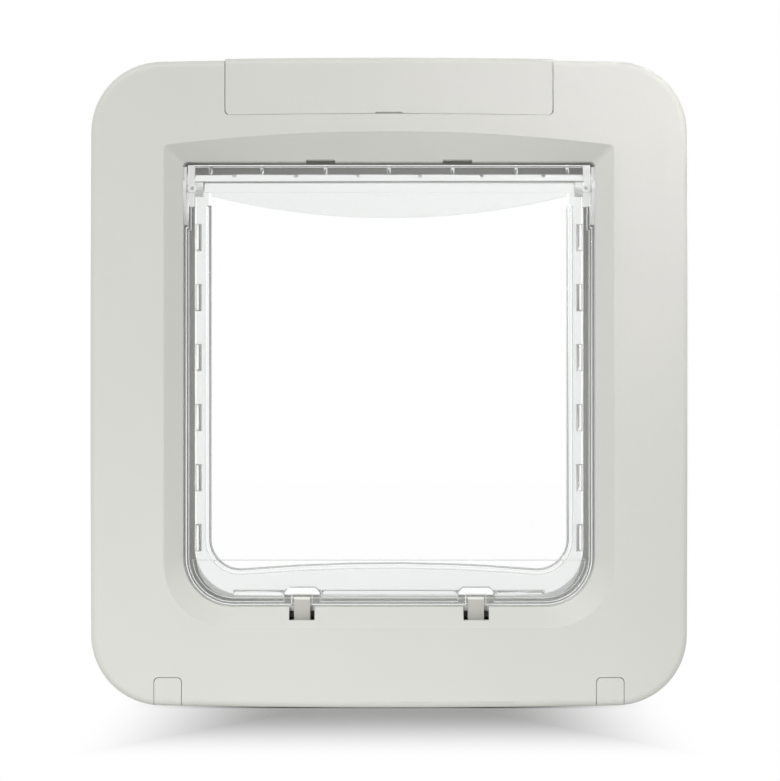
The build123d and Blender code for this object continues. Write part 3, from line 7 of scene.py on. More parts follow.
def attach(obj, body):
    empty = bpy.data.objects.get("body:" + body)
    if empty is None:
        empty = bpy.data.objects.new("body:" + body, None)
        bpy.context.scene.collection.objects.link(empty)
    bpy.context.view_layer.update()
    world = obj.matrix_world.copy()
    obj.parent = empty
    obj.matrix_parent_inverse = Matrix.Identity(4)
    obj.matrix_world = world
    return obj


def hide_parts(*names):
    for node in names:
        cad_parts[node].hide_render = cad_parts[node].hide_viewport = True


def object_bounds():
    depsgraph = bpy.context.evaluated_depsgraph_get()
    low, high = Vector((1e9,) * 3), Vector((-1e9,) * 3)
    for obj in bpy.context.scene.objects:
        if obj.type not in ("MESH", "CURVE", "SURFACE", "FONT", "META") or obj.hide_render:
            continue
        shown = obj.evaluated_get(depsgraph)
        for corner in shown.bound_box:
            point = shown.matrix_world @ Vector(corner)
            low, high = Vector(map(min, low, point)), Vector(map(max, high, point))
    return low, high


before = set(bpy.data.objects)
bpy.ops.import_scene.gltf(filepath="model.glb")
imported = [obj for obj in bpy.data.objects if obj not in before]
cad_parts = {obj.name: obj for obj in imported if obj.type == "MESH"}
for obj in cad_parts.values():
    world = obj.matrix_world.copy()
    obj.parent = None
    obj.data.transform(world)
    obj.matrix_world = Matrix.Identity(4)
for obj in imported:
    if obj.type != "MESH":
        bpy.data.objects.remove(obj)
cad_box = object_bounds()


# Rear cover: the flat plate of the housing that lies against the door.
# It is injection-moulded in pale grey ABS with the fine spark texture of all the outer shells,
# and four screws hold it to the front frame.
BODY_TONE = (0.72, 0.72, 0.68)
PLASTIC_IOR = 1.5
TONE_PATCHES = 14.0
TONE_SPREAD = (0.985, 1.01)
GLOSS_PATCHES = 60.0
GLOSS_SPREAD = 0.04
SPARK_GRAIN = 2600.0
SPARK_DEPTH = 0.000012
MOULD_EDGE = 0.0004


def link(tree, source, target):
    """Join an output to an input of another node."""
    tree.links.new(source, target)


def new_material(name):
    """Start a material and give its node tree and its main shader."""
    material = bpy.data.materials.new(name)
    material.use_nodes = True
    return material, material.node_tree, material.node_tree.nodes["Principled BSDF"]


def add_node(tree, kind, **settings):
    """Add a shader node, with its inputs set by name and its other settings as attributes."""
    node = tree.nodes.new(kind)
    for key, value in settings.items():
        if key in node.inputs:
            node.inputs[key].default_value = value
        else:
            setattr(node, key, value)
    return node


def add_noise(tree, scale, detail=3.0):
    """Add a noise pattern fixed to the piece, with this many features to the metre."""
    place = add_node(tree, "ShaderNodeTexCoord")
    noise = add_node(tree, "ShaderNodeTexNoise", Scale=scale, Detail=detail)
    link(tree, place.outputs["Object"], noise.inputs["Vector"])
    return noise


def vary_colour(tree, shader, noise, low, high):
    """Let the colour drift between two close tones with the noise."""
    ramp = add_node(tree, "ShaderNodeValToRGB")
    ramp.color_ramp.elements[0].position = 0.3
    ramp.color_ramp.elements[0].color = (*low, 1)
    ramp.color_ramp.elements[1].position = 0.7
    ramp.color_ramp.elements[1].color = (*high, 1)
    link(tree, noise.outputs["Fac"], ramp.inputs["Fac"])
    link(tree, ramp.outputs["Color"], shader.inputs["Base Color"])


def vary_roughness(tree, shader, noise, low, high):
    """Let the roughness drift between two values with the noise."""
    spread = add_node(tree, "ShaderNodeMapRange")
    spread.inputs["To Min"].default_value = low
    spread.inputs["To Max"].default_value = high
    link(tree, noise.outputs["Fac"], spread.inputs["Value"])
    link(tree, spread.outputs["Result"], shader.inputs["Roughness"])


def add_bump(tree, shader, noise, depth, edge_radius=0.0):
    """Raise the noise by this depth in metres, over edges that are rounded by this radius."""
    bump = add_node(tree, "ShaderNodeBump", Distance=depth)
    link(tree, noise.outputs["Fac"], bump.inputs["Height"])
    if edge_radius:
        rounding = add_node(tree, "ShaderNodeBevel", samples=6, Radius=edge_radius)
        link(tree, rounding.outputs["Normal"], bump.inputs["Normal"])
    link(tree, bump.outputs["Normal"], shader.inputs["Normal"])


def moulded_plastic(name, tone, roughness, edge_radius=MOULD_EDGE):
    """Opaque moulded plastic with a fine spark texture and a barely uneven tone."""
    material, tree, shader = new_material(name)
    shader.inputs["IOR"].default_value = PLASTIC_IOR
    darker, lighter = ([share * part for part in tone] for share in TONE_SPREAD)
    vary_colour(tree, shader, add_noise(tree, TONE_PATCHES), darker, lighter)
    gloss = add_noise(tree, GLOSS_PATCHES)
    vary_roughness(tree, shader, gloss, roughness - GLOSS_SPREAD, roughness + GLOSS_SPREAD)
    add_bump(tree, shader, add_noise(tree, SPARK_GRAIN, detail=2.0), SPARK_DEPTH, edge_radius)
    return material


def dress(material, *nodes):
    """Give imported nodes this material."""
    for node in nodes:
        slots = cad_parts[node].data.materials
        slots.clear()
        slots.append(material)


body_plastic = moulded_plastic("pale_grey_abs", BODY_TONE, roughness=0.44)
dress(body_plastic, "rear_cover")

# Tunnel: the one-piece tube that lines the hole in the door, in a darker grey than the two frames, which is
# painted shade standing in for the shade inside the tube.
# It starts at the front frame's collar, passes through the rear cover and ends in the outdoor frame.
TUNNEL_SHADE_TONE = (0.34, 0.34, 0.32)
TUNNEL_GLOSS = 0.1
# The tunnel's darker tone is painted shade.
shaded_tunnel_plastic = moulded_plastic("tunnel_abs_painted_shade", TUNNEL_SHADE_TONE, roughness=0.8)
shaded_tunnel_plastic.node_tree.nodes["Principled BSDF"].inputs["Specular IOR Level"].default_value = TUNNEL_GLOSS
dress(shaded_tunnel_plastic, "tunnel")

# Reader coil: enamelled copper wire round the tunnel, which senses the animal's chip.
# Its turns are wound side by side between the tunnel's two flanges.
WIRE_PITCH = 0.00035
WAVE_LENGTH = 0.31416
DARK_ENAMEL = (0.40, 0.13, 0.04)
LIGHT_ENAMEL = (0.52, 0.19, 0.07)


def wound_wire(name, pitch):
    """Enamelled copper wire in close turns that lie across the Y axis."""
    material, tree, shader = new_material(name)
    vary_colour(tree, shader, add_noise(tree, scale=90.0), DARK_ENAMEL, LIGHT_ENAMEL)
    vary_roughness(tree, shader, add_noise(tree, scale=200.0), low=0.2, high=0.35)
    shader.inputs["Metallic"].default_value = 0.6
    place = add_node(tree, "ShaderNodeTexCoord")
    turns = add_node(tree, "ShaderNodeTexWave", bands_direction="Y", Scale=WAVE_LENGTH / pitch)
    link(tree, place.outputs["Object"], turns.inputs["Vector"])
    bump = add_node(tree, "ShaderNodeBump", Distance=pitch / 3)
    link(tree, turns.outputs["Fac"], bump.inputs["Height"])
    link(tree, bump.outputs["Normal"], shader.inputs["Normal"])
    return material


dress(wound_wire("enamelled_copper", WIRE_PITCH), "reader_coil")

# Lock chassis: the carrier with the bar's guide channels and the motor's seat, in untinted matt grey ABS.
# Three short screws fix it to the rear cover.
INNER_TONE = (0.58, 0.58, 0.56)
inner_plastic = moulded_plastic("inner_abs", INNER_TONE, roughness=0.55)
dress(inner_plastic, "lock_chassis")

# Lock: two tongues and the toothed bar that carries them, moulded in warm grey acetal, and the paler wheel
# that drives the bar's rack. The tongues' noses carry a painted highlight: their tone turns paler towards the
# top, for the light that catches the rounded nose.
LATCH_TONE = (0.56, 0.555, 0.51)
GEAR_TONE = (0.80, 0.79, 0.74)
NOSE_HIGHLIGHT_TONE = (0.92, 0.92, 0.87)
NOSE_HIGHLIGHT_START = -0.0954
NOSE_HIGHLIGHT_END = -0.0947
MIX_FIRST_COLOUR = 6
MIX_SECOND_COLOUR = 7
MIX_COLOUR_OUT = 2


def acetal_with_painted_highlight(name, tone, highlight_tone, low, high):
    """Moulded acetal whose tone turns paler between two heights, a painted highlight."""
    material = moulded_plastic(name, tone, roughness=0.4)
    tree = material.node_tree
    shader = tree.nodes["Principled BSDF"]
    drift = shader.inputs["Base Color"].links[0].from_socket
    place = add_node(tree, "ShaderNodeTexCoord")
    split = add_node(tree, "ShaderNodeSeparateXYZ")
    link(tree, place.outputs["Object"], split.inputs["Vector"])
    # Painted highlight: the colour fades to the paler tone between the two heights.
    highlight_fade = add_node(tree, "ShaderNodeMapRange", interpolation_type="SMOOTHSTEP")
    highlight_fade.inputs["From Min"].default_value = low
    highlight_fade.inputs["From Max"].default_value = high
    link(tree, split.outputs["Z"], highlight_fade.inputs["Value"])
    highlight_mix = add_node(tree, "ShaderNodeMix", data_type="RGBA")
    link(tree, highlight_fade.outputs["Result"], highlight_mix.inputs["Factor"])
    link(tree, drift, highlight_mix.inputs[MIX_FIRST_COLOUR])
    highlight_mix.inputs[MIX_SECOND_COLOUR].default_value = (*highlight_tone, 1)
    link(tree, highlight_mix.outputs[MIX_COLOUR_OUT], shader.inputs["Base Color"])
    return material


# The tongues' noses get a painted highlight in a paler tone.
latch_plastic = acetal_with_painted_highlight("latch_acetal", LATCH_TONE, NOSE_HIGHLIGHT_TONE, NOSE_HIGHLIGHT_START, NOSE_HIGHLIGHT_END)
dress(latch_plastic, "latch_left", "latch_right", "lock_bar")
gear_plastic = moulded_plastic("gear_acetal", GEAR_TONE, roughness=0.38)
dress(gear_plastic, "lock_pinion")


# Motor, shaft and small screws: drawn and turned steel, zinc plated.
# The geared motor lies between the chassis ribs; small screws hold the case, the board and the chassis.
DARK_ZINC = (0.58, 0.58, 0.57)
LIGHT_ZINC = (0.68, 0.68, 0.67)


def plated_steel(name):
    """Zinc-plated steel with fine drawing marks."""
    material, tree, shader = new_material(name)
    shader.inputs["Metallic"].default_value = 1.0
    vary_colour(tree, shader, add_noise(tree, scale=220.0), DARK_ZINC, LIGHT_ZINC)
    vary_roughness(tree, shader, add_noise(tree, scale=900.0), low=0.24, high=0.38)
    add_bump(tree, shader, add_noise(tree, scale=3000.0), depth=0.000008)
    return material


steel = plated_steel("zinc_plated_steel")
dress(steel, "lock_motor", "motor_shaft", "board_screws", "chassis_screws", "case_screws")

# Control board and button board: glass laminate under green solder mask, with black resin parts soldered on.
# The control board is screwed to the rear cover beside the tunnel; the button board lies behind its panel.
MASK_TONE = (0.02, 0.12, 0.05)
board_green = moulded_plastic("solder_mask", MASK_TONE, roughness=0.35)
dress(board_green, "control_board", "button_board")


# Parts on the control board: a processor and three small chips on tinned legs, three capacitors in sleeves,
# a buzzer and the socket for the coil and motor leads. All are soldered to the board's front.
def start_tree(name, inputs):
    """Start a Geometry Nodes tree with these named inputs, and give it with its input and output nodes."""
    tree = bpy.data.node_groups.new(name, "GeometryNodeTree")
    tree.interface.new_socket(name="Geometry", in_out="INPUT", socket_type="NodeSocketGeometry")
    tree.interface.new_socket(name="Geometry", in_out="OUTPUT", socket_type="NodeSocketGeometry")
    for label, (kind, value) in inputs.items():
        socket = tree.interface.new_socket(name=label, in_out="INPUT", socket_type="NodeSocket" + kind)
        socket.default_value = value
    return tree, tree.nodes.new("NodeGroupInput"), tree.nodes.new("NodeGroupOutput")


def calculate(tree, operation, *values):
    """Add a maths node for these values, which are numbers or other nodes' outputs, and give its result."""
    node = tree.nodes.new("ShaderNodeMath")
    node.operation = operation
    for socket, value in zip(node.inputs, values):
        if isinstance(value, (int, float)):
            socket.default_value = value
        else:
            link(tree, value, socket)
    return node.outputs["Value"]


def finish_tree(tree, geometry, outlet, material):
    """Close a tree with Realize Instances and Set Material."""
    realize = tree.nodes.new("GeometryNodeRealizeInstances")
    paint = tree.nodes.new("GeometryNodeSetMaterial")
    paint.inputs["Material"].default_value = material
    link(tree, geometry, realize.inputs["Geometry"])
    link(tree, realize.outputs["Geometry"], paint.inputs["Geometry"])
    link(tree, paint.outputs["Geometry"], outlet.inputs["Geometry"])


def grown_mesh(name, start_mesh, tree, values):
    """Run a tree on a mesh with these input values, and give the plain mesh that comes out as an object."""
    piece = add_object(name, start_mesh)
    growth = piece.modifiers.new("growth", "NODES")
    growth.node_group = tree
    identifiers = {item.name: item.identifier for item in tree.interface.items_tree if item.in_out == "INPUT"}
    for label, value in values.items():
        growth[identifiers[label]] = value
    bpy.context.view_layer.update()
    grown = bpy.data.meshes.new_from_object(piece.evaluated_get(bpy.context.evaluated_depsgraph_get()))
    piece.modifiers.clear()
    piece.data = grown
    return piece


def add_object(name, data):
    """Add an object to the scene, at the origin."""
    added = bpy.data.objects.new(name, data)
    bpy.context.scene.collection.objects.link(added)
    return added


def finished_mesh(name, work):
    """Close the work on a mesh and give it this name."""
    mesh = bpy.data.meshes.new(name)
    work.to_mesh(mesh)
    work.free()
    return mesh


def turn(work, profile, start, along, segments):
    """Turn a profile about an axis.

    Each step of it is a distance, a radius and the finish up to the next step.
    """
    side = along.orthogonal().normalized()
    up = along.cross(side)
    angles = [2 * math.pi * step / segments for step in range(segments)]
    spokes = [math.cos(angle) * side + math.sin(angle) * up for angle in angles]
    rings = []
    for distance, radius, finish in profile:
        centre = start + distance * along
        used = spokes if radius else spokes[:1]
        rings.append([work.verts.new(centre + radius * spoke) for spoke in used])
    for (distance, radius, finish), before, after in zip(profile, rings, rings[1:]):
        for step in range(segments):
            ahead = step + 1
            corners = (before[step % len(before)], before[ahead % len(before)])
            corners += (after[ahead % len(after)], after[step % len(after)])
            face = work.faces.new(list(dict.fromkeys(corners)))
            face.smooth = True
            face.material_index = finish


def add_block(work, low, high, bevel, finish):
    """Add a box from its low corner to its high one, with its edges broken by a bevel."""
    verts = bmesh.ops.create_cube(work, size=1.0)["verts"]
    bmesh.ops.scale(work, vec=Vector(high) - Vector(low), verts=verts)
    bmesh.ops.translate(work, vec=(Vector(high) + Vector(low)) / 2, verts=verts)
    edges = list({edge for vert in verts for edge in vert.link_edges})
    shaped = bmesh.ops.bevel(work, geom=edges, offset=bevel, segments=2, affect="EDGES")
    for face in {face for vert in shaped["verts"] for face in vert.link_faces}:
        face.material_index = finish


BOARD_FRONT = -0.0140
CHIP_THICKNESS = 0.0015
CHIP_STANDOFF = 0.0001
LEG_PATH = [(0.0, 0.0008), (0.0003, 0.0008), (0.0005, 0.0001), (0.0010, 0.0001)]
LEG_THICKNESS = 0.00012
LEG_WIDTH = 0.0003
RESIN_EDGE = 0.00015
PROCESSOR_PLACE = (0.1120, 0.0180)
PROCESSOR_HALF = (0.0050, 0.0050)
PROCESSOR_PITCH = 0.0008
SMALL_CHIP_PLACES = [(0.1050, -0.0080), (0.1050, -0.0200), (0.1180, -0.0080)]
SMALL_CHIP_HALF = (0.0020, 0.0025)
SMALL_CHIP_PITCH = 0.00115
SOCKET_PLACE = (0.1050, 0.0480)
SOCKET_HALF = (0.0040, 0.0060)
SOCKET_DEPTH = 0.0060
SOCKET_WALL = 0.0008
SOCKET_PINS = 4
PIN_SPACING = 0.0025
PIN_HALF = 0.0003
PIN_TIP = 0.0052
PIN_FOOT = 0.0010
PIN_EDGE = 0.0001
CAPACITOR_PLACES = [(0.1180, 0.0420), (0.1180, 0.0530), (0.1060, -0.0440)]
BUZZER_PLACE = (0.1160, -0.0360)
RESIN, TIN, SLEEVE, NYLON = range(4)
CAPACITOR_STEPS = [
    (0.0, 0.0, SLEEVE),
    (0.0, 0.0038, SLEEVE),
    (0.0004, 0.0040, SLEEVE),
    (0.0010, 0.0040, SLEEVE),
    (0.0014, 0.0036, SLEEVE),
    (0.0018, 0.0040, SLEEVE),
    (0.0085, 0.0040, SLEEVE),
    (0.0090, 0.0036, SLEEVE),
    (0.0090, 0.0031, TIN),
    (0.0087, 0.0029, TIN),
    (0.0087, 0.0, TIN),
]
BUZZER_STEPS = [
    (0.0, 0.0, RESIN),
    (0.0, 0.0058, RESIN),
    (0.0002, 0.0060, RESIN),
    (0.0046, 0.0060, RESIN),
    (0.0050, 0.0056, RESIN),
    (0.0050, 0.0013, RESIN),
    (0.0038, 0.0012, RESIN),
    (0.0038, 0.0, RESIN),
]
RESIN_TONE = (0.02, 0.02, 0.02)
SLEEVE_TONE = (0.02, 0.03, 0.07)
NYLON_TONE = (0.75, 0.73, 0.66)
chip_resin = moulded_plastic("chip_resin", RESIN_TONE, roughness=0.5, edge_radius=0.0)
capacitor_sleeve = moulded_plastic("capacitor_sleeve", SLEEVE_TONE, roughness=0.3, edge_radius=0.0)
socket_nylon = moulded_plastic("socket_nylon", NYLON_TONE, roughness=0.45, edge_radius=0.0)

leg_tree, leg_in, leg_out = start_tree(
    "row of legs",
    {
        "Legs": ("Int", 4),
        "Start": ("Vector", (0, 0, 0)),
        "Step": ("Vector", (0, 0, 0)),
        "Turn": ("Float", 0.0),
    },
)
leg_places = leg_tree.nodes.new("GeometryNodeMeshLine")
link(leg_tree, leg_in.outputs["Legs"], leg_places.inputs["Count"])
link(leg_tree, leg_in.outputs["Start"], leg_places.inputs["Start Location"])
link(leg_tree, leg_in.outputs["Step"], leg_places.inputs["Offset"])
leg_turn = leg_tree.nodes.new("ShaderNodeCombineXYZ")
link(leg_tree, leg_in.outputs["Turn"], leg_turn.inputs["Y"])
leg_copies = leg_tree.nodes.new("GeometryNodeInstanceOnPoints")
link(leg_tree, leg_places.outputs["Mesh"], leg_copies.inputs["Points"])
link(leg_tree, leg_in.outputs["Geometry"], leg_copies.inputs["Instance"])
link(leg_tree, leg_turn.outputs["Vector"], leg_copies.inputs["Rotation"])
finish_tree(leg_tree, leg_copies.outputs["Instances"], leg_out, steel)

leg_work = bmesh.new()
sections = []
half_leg = LEG_WIDTH / 2
leg_corners = ((0, -half_leg), (0, half_leg), (LEG_THICKNESS, half_leg), (LEG_THICKNESS, -half_leg))
for out, height in LEG_PATH:
    sections.append([leg_work.verts.new((out, -height - rise, across)) for rise, across in leg_corners])
for before, after in zip(sections, sections[1:]):
    for corner in range(4):
        ahead = (corner + 1) % 4
        leg_work.faces.new((before[corner], before[ahead], after[ahead], after[corner]))
leg_work.faces.new(sections[0])
leg_work.faces.new(sections[-1])
bmesh.ops.recalc_face_normals(leg_work, faces=leg_work.faces)
leg_mesh = finished_mesh("leg", leg_work)

chips = [(PROCESSOR_PLACE, PROCESSOR_HALF, PROCESSOR_PITCH, (0, 90, 180, 270))]
for chip_place in SMALL_CHIP_PLACES:
    chips.append((chip_place, SMALL_CHIP_HALF, SMALL_CHIP_PITCH, (0, 180)))
parts_work = bmesh.new()
for (chip_x, chip_z), (half_x, half_z), pitch, sides in chips:
    low = (chip_x - half_x, BOARD_FRONT - CHIP_THICKNESS, chip_z - half_z)
    high = (chip_x + half_x, BOARD_FRONT - CHIP_STANDOFF, chip_z + half_z)
    add_block(parts_work, low, high, RESIN_EDGE, RESIN)
    for turned in sides:
        along_x = turned in (90, 270)
        out, half_row = (half_z, half_x) if along_x else (half_x, half_z)
        legs = int(2 * half_row / pitch) - 1
        angle = math.radians(turned)
        outward = Vector((math.cos(angle), 0, -math.sin(angle)))
        run = Vector((math.sin(angle), 0, math.cos(angle)))
        middle = Vector((chip_x, BOARD_FRONT, chip_z)) + out * outward
        first = middle - (legs - 1) * pitch / 2 * run
        row_values = {"Legs": legs, "Start": first, "Step": pitch * run, "Turn": angle}
        row_of_legs = grown_mesh("row_of_legs", leg_mesh.copy(), leg_tree, row_values)
        faces_before = set(parts_work.faces)
        parts_work.from_mesh(row_of_legs.data)
        bpy.data.objects.remove(row_of_legs)
        for face in set(parts_work.faces) - faces_before:
            face.material_index = TIN
to_room = Vector((0, -1, 0))
for x, z in CAPACITOR_PLACES:
    turn(parts_work, CAPACITOR_STEPS, Vector((x, BOARD_FRONT, z)), to_room, segments=32)
buzzer_foot = Vector((BUZZER_PLACE[0], BOARD_FRONT, BUZZER_PLACE[1]))
turn(parts_work, BUZZER_STEPS, buzzer_foot, to_room, segments=40)
socket_x, socket_z = SOCKET_PLACE
socket_verts = bmesh.ops.create_cube(parts_work, size=1.0)["verts"]
socket_size = (2 * SOCKET_HALF[0], SOCKET_DEPTH, 2 * SOCKET_HALF[1])
bmesh.ops.scale(parts_work, vec=socket_size, verts=socket_verts)
bmesh.ops.translate(parts_work, vec=(socket_x, BOARD_FRONT - SOCKET_DEPTH / 2, socket_z), verts=socket_verts)
socket_faces = {face for vert in socket_verts for face in vert.link_faces}
socket_mouth = min(socket_faces, key=lambda face: face.calc_center_median().y)
pit_depth = SOCKET_DEPTH - 2 * SOCKET_WALL
rim = bmesh.ops.inset_individual(parts_work, faces=[socket_mouth], thickness=SOCKET_WALL)["faces"]
pit = bmesh.ops.inset_individual(parts_work, faces=[socket_mouth], thickness=0.0, depth=-pit_depth)["faces"]
for face in socket_faces | set(rim) | set(pit):
    face.material_index = NYLON
for pin in range(SOCKET_PINS):
    pin_z = socket_z + (pin - (SOCKET_PINS - 1) / 2) * PIN_SPACING
    low = (socket_x - PIN_HALF, BOARD_FRONT - PIN_TIP, pin_z - PIN_HALF)
    high = (socket_x + PIN_HALF, BOARD_FRONT - PIN_FOOT, pin_z + PIN_HALF)
    add_block(parts_work, low, high, PIN_EDGE, TIN)
bmesh.ops.recalc_face_normals(parts_work, faces=parts_work.faces)
parts_mesh = finished_mesh("soldered_parts", parts_work)
parts_mesh.set_sharp_from_angle(angle=math.radians(35))
for finish in (chip_resin, steel, capacitor_sleeve, socket_nylon):
    parts_mesh.materials.append(finish)
soldered_parts = add_object("soldered_parts", parts_mesh)
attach(soldered_parts, "housing")
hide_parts("board_components")

# Battery tray and button panel: inner mouldings of the same matt grey as the chassis.
# The tray holds two cells on each side of the pod in which the button panel sits.
dress(inner_plastic, "battery_tray", "button_panel")

# Battery contacts: plated plates against the walls of the tray and the pod.
# The outer two carry a coil spring that presses the row of cells against the pod's plates.
CELL_AXIS = (-0.0172, 0.1175)
PLATE_SIZE = (0.0004, 0.0140, 0.0110)
PLATE_CORNER = 0.0015
POD_PLATE = 0.0170
END_PLATE = 0.1206
SPRING_TURNS = 3.0
SPRING_FOOT_RADIUS = 0.0046
SPRING_TIP_RADIUS = 0.0022
SPRING_HEIGHT = 0.0023
SPRING_WIRE = 0.00032

spring_tree, spring_in, spring_out = start_tree(
    "contact spring",
    {
        "Turns": ("Float", SPRING_TURNS),
        "Foot Radius": ("Float", SPRING_FOOT_RADIUS),
        "Tip Radius": ("Float", SPRING_TIP_RADIUS),
        "Height": ("Float", SPRING_HEIGHT),
        "Wire Radius": ("Float", SPRING_WIRE),
    },
)
spiral = spring_tree.nodes.new("GeometryNodeCurveSpiral")
spiral.inputs["Resolution"].default_value = 32
spiral_inputs = {
    "Turns": "Rotations",
    "Foot Radius": "Start Radius",
    "Tip Radius": "End Radius",
    "Height": "Height",
}
for ours, theirs in spiral_inputs.items():
    link(spring_tree, spring_in.outputs[ours], spiral.inputs[theirs])
wire_round = spring_tree.nodes.new("GeometryNodeCurvePrimitiveCircle")
wire_round.inputs["Resolution"].default_value = 10
link(spring_tree, spring_in.outputs["Wire Radius"], wire_round.inputs["Radius"])
drawn = spring_tree.nodes.new("GeometryNodeCurveToMesh")
drawn.inputs["Fill Caps"].default_value = True
link(spring_tree, spiral.outputs["Curve"], drawn.inputs["Curve"])
link(spring_tree, wire_round.outputs["Curve"], drawn.inputs["Profile Curve"])
finish_tree(spring_tree, drawn.outputs["Mesh"], spring_out, steel)
contacts = grown_mesh("cell_contacts", bpy.data.meshes.new("contact_start"), spring_tree, {})
spring_mesh = contacts.data
contact_work = bmesh.new()
for side in (-1, 1):
    facing = Matrix.Rotation(math.radians(-90 * side), 4, "Y")
    foot = Matrix.Translation((side * (END_PLATE - PLATE_SIZE[0] / 2 - SPRING_WIRE), *CELL_AXIS))
    spring_copy = spring_mesh.copy()
    spring_copy.transform(foot @ facing)
    contact_work.from_mesh(spring_copy)
    bpy.data.meshes.remove(spring_copy)
    for distance in (POD_PLATE, END_PLATE):
        plate = bmesh.ops.create_cube(contact_work, size=1.0)["verts"]
        bmesh.ops.scale(contact_work, vec=PLATE_SIZE, verts=plate)
        bmesh.ops.translate(contact_work, vec=(side * distance, *CELL_AXIS), verts=plate)
        plate_edges = {edge for vert in plate for edge in vert.link_edges}
        corners = []
        for edge in plate_edges:
            if abs(edge.verts[0].co.x - edge.verts[1].co.x) > PLATE_SIZE[0] / 2:
                corners.append(edge)
        bmesh.ops.bevel(contact_work, geom=corners, offset=PLATE_CORNER, segments=4, affect="EDGES")
contact_work.to_mesh(spring_mesh)
contact_work.free()
for polygon in spring_mesh.polygons:
    polygon.use_smooth = True
spring_mesh.set_sharp_from_angle(angle=math.radians(30))
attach(contacts, "housing")
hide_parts("battery_contacts")

# Display and buttons: a small grey liquid-crystal display and two rubber buttons for learning and settings.
# They sit in the button panel and are reached only with the battery cover off.
DISPLAY_TONE = (0.20, 0.24, 0.17)
RUBBER_TONE = (0.10, 0.105, 0.115)
display_glass = moulded_plastic("display_glass", DISPLAY_TONE, roughness=0.12)
dress(display_glass, "display")
button_rubber = moulded_plastic("button_rubber", RUBBER_TONE, roughness=0.6)
dress(button_rubber, "memory_button", "settings_button")

# Front frame: the moulded front of the housing, with a bevelled surround that falls in towards the opening.
# It is pale grey ABS with the same spark texture as the rear cover.
dress(body_plastic, "front_frame")


# Hinge brackets and pins: two tapering ears of clear polycarbonate against the sides of the opening.
# A short steel pin goes through each into the frame's side, and the flap swings on the two.
LAMP_TINT = (0.93, 0.95, 0.94)


def clear_plastic(name, tint, edge_shade_tint, roughness, clearness):
    """Clear moulded plastic that lets lamps through, with painted shade that greys it where it is seen edge
    on.
    """
    material, tree, shader = new_material(name)
    shader.inputs["Transmission Weight"].default_value = clearness
    shader.inputs["IOR"].default_value = PLASTIC_IOR
    # Painted shade: the colour turns towards the edge shade tint where the surface is seen edge on.
    turned = add_node(tree, "ShaderNodeLayerWeight", Blend=0.5)
    ramp = add_node(tree, "ShaderNodeValToRGB")
    ramp.color_ramp.elements[0].position = 0.12
    ramp.color_ramp.elements[0].color = (*tint, 1)
    ramp.color_ramp.elements[1].position = 0.85
    ramp.color_ramp.elements[1].color = (*edge_shade_tint, 1)
    link(tree, turned.outputs["Facing"], ramp.inputs["Fac"])
    link(tree, ramp.outputs["Color"], shader.inputs["Base Color"])
    vary_roughness(tree, shader, add_noise(tree, scale=45.0), low=roughness, high=roughness + 0.03)
    add_bump(tree, shader, add_noise(tree, scale=160.0, detail=1.0), depth=0.00001)
    light_path = add_node(tree, "ShaderNodeLightPath")
    open_way = add_node(tree, "ShaderNodeBsdfTransparent")
    open_way.inputs["Color"].default_value = (*LAMP_TINT, 1)
    through = add_node(tree, "ShaderNodeMixShader")
    link(tree, light_path.outputs["Is Shadow Ray"], through.inputs["Fac"])
    link(tree, shader.outputs["BSDF"], through.inputs[1])
    link(tree, open_way.outputs["BSDF"], through.inputs[2])
    link(tree, through.outputs["Shader"], tree.nodes["Material Output"].inputs["Surface"])
    return material


# Each pair is a tint and the painted shade tint for where the surface is seen edge on.
CLEAR_TINTS = ((0.995, 1.0, 0.997), (0.58, 0.60, 0.59))
FROSTED_TINTS = ((0.86, 0.88, 0.87), (0.74, 0.76, 0.75))
EDGE_TINTS = ((0.88, 0.90, 0.89), (0.82, 0.84, 0.83))
MILKY_TINTS = ((0.95, 0.96, 0.94), (0.80, 0.81, 0.79))
clear_moulding = clear_plastic("clear_polycarbonate", *CLEAR_TINTS, roughness=0.02, clearness=1.0)
frosted_moulding = clear_plastic("frosted_polycarbonate", *FROSTED_TINTS, roughness=0.05, clearness=0.55)
edge_moulding = clear_plastic("edge_polycarbonate", *EDGE_TINTS, roughness=0.25, clearness=0.5)
milky_moulding = clear_plastic("milky_polycarbonate", *MILKY_TINTS, roughness=0.1, clearness=0.2)
dress(milky_moulding, "hinge_bracket_left", "hinge_bracket_right")
dress(steel, "hinge_pins")


# Flap: one clear polycarbonate moulding with a hinge beam, a lip, a bead and two keepers.
# Its brow and the ring round its window have a fine frosting, and its crests have a small radius.
WELD_DISTANCE = 0.000002
CUT_TOLERANCE = 0.000001
DEPTH_TOLERANCE = 0.00001
SHARP_TURN = math.radians(50)
SHORTEST_EDGE = 0.00025
FLAT_SHARE = 0.9999


def keep_flats(mesh):
    """Give flat faces along the axes their own normals, so that the curves beside them don't shade them."""
    normals = [corner.vector.copy() for corner in mesh.corner_normals]
    for polygon in mesh.polygons:
        if max(abs(part) for part in polygon.normal) > FLAT_SHARE:
            for corner in polygon.loop_indices:
                normals[corner] = polygon.normal.copy()
    mesh.normals_split_custom_set(normals)


def lies_at(depth, element):
    """Tell whether a face or an edge lies wholly at this depth."""
    return all(abs(vert.co.y - depth) < DEPTH_TOLERANCE for vert in element.verts)


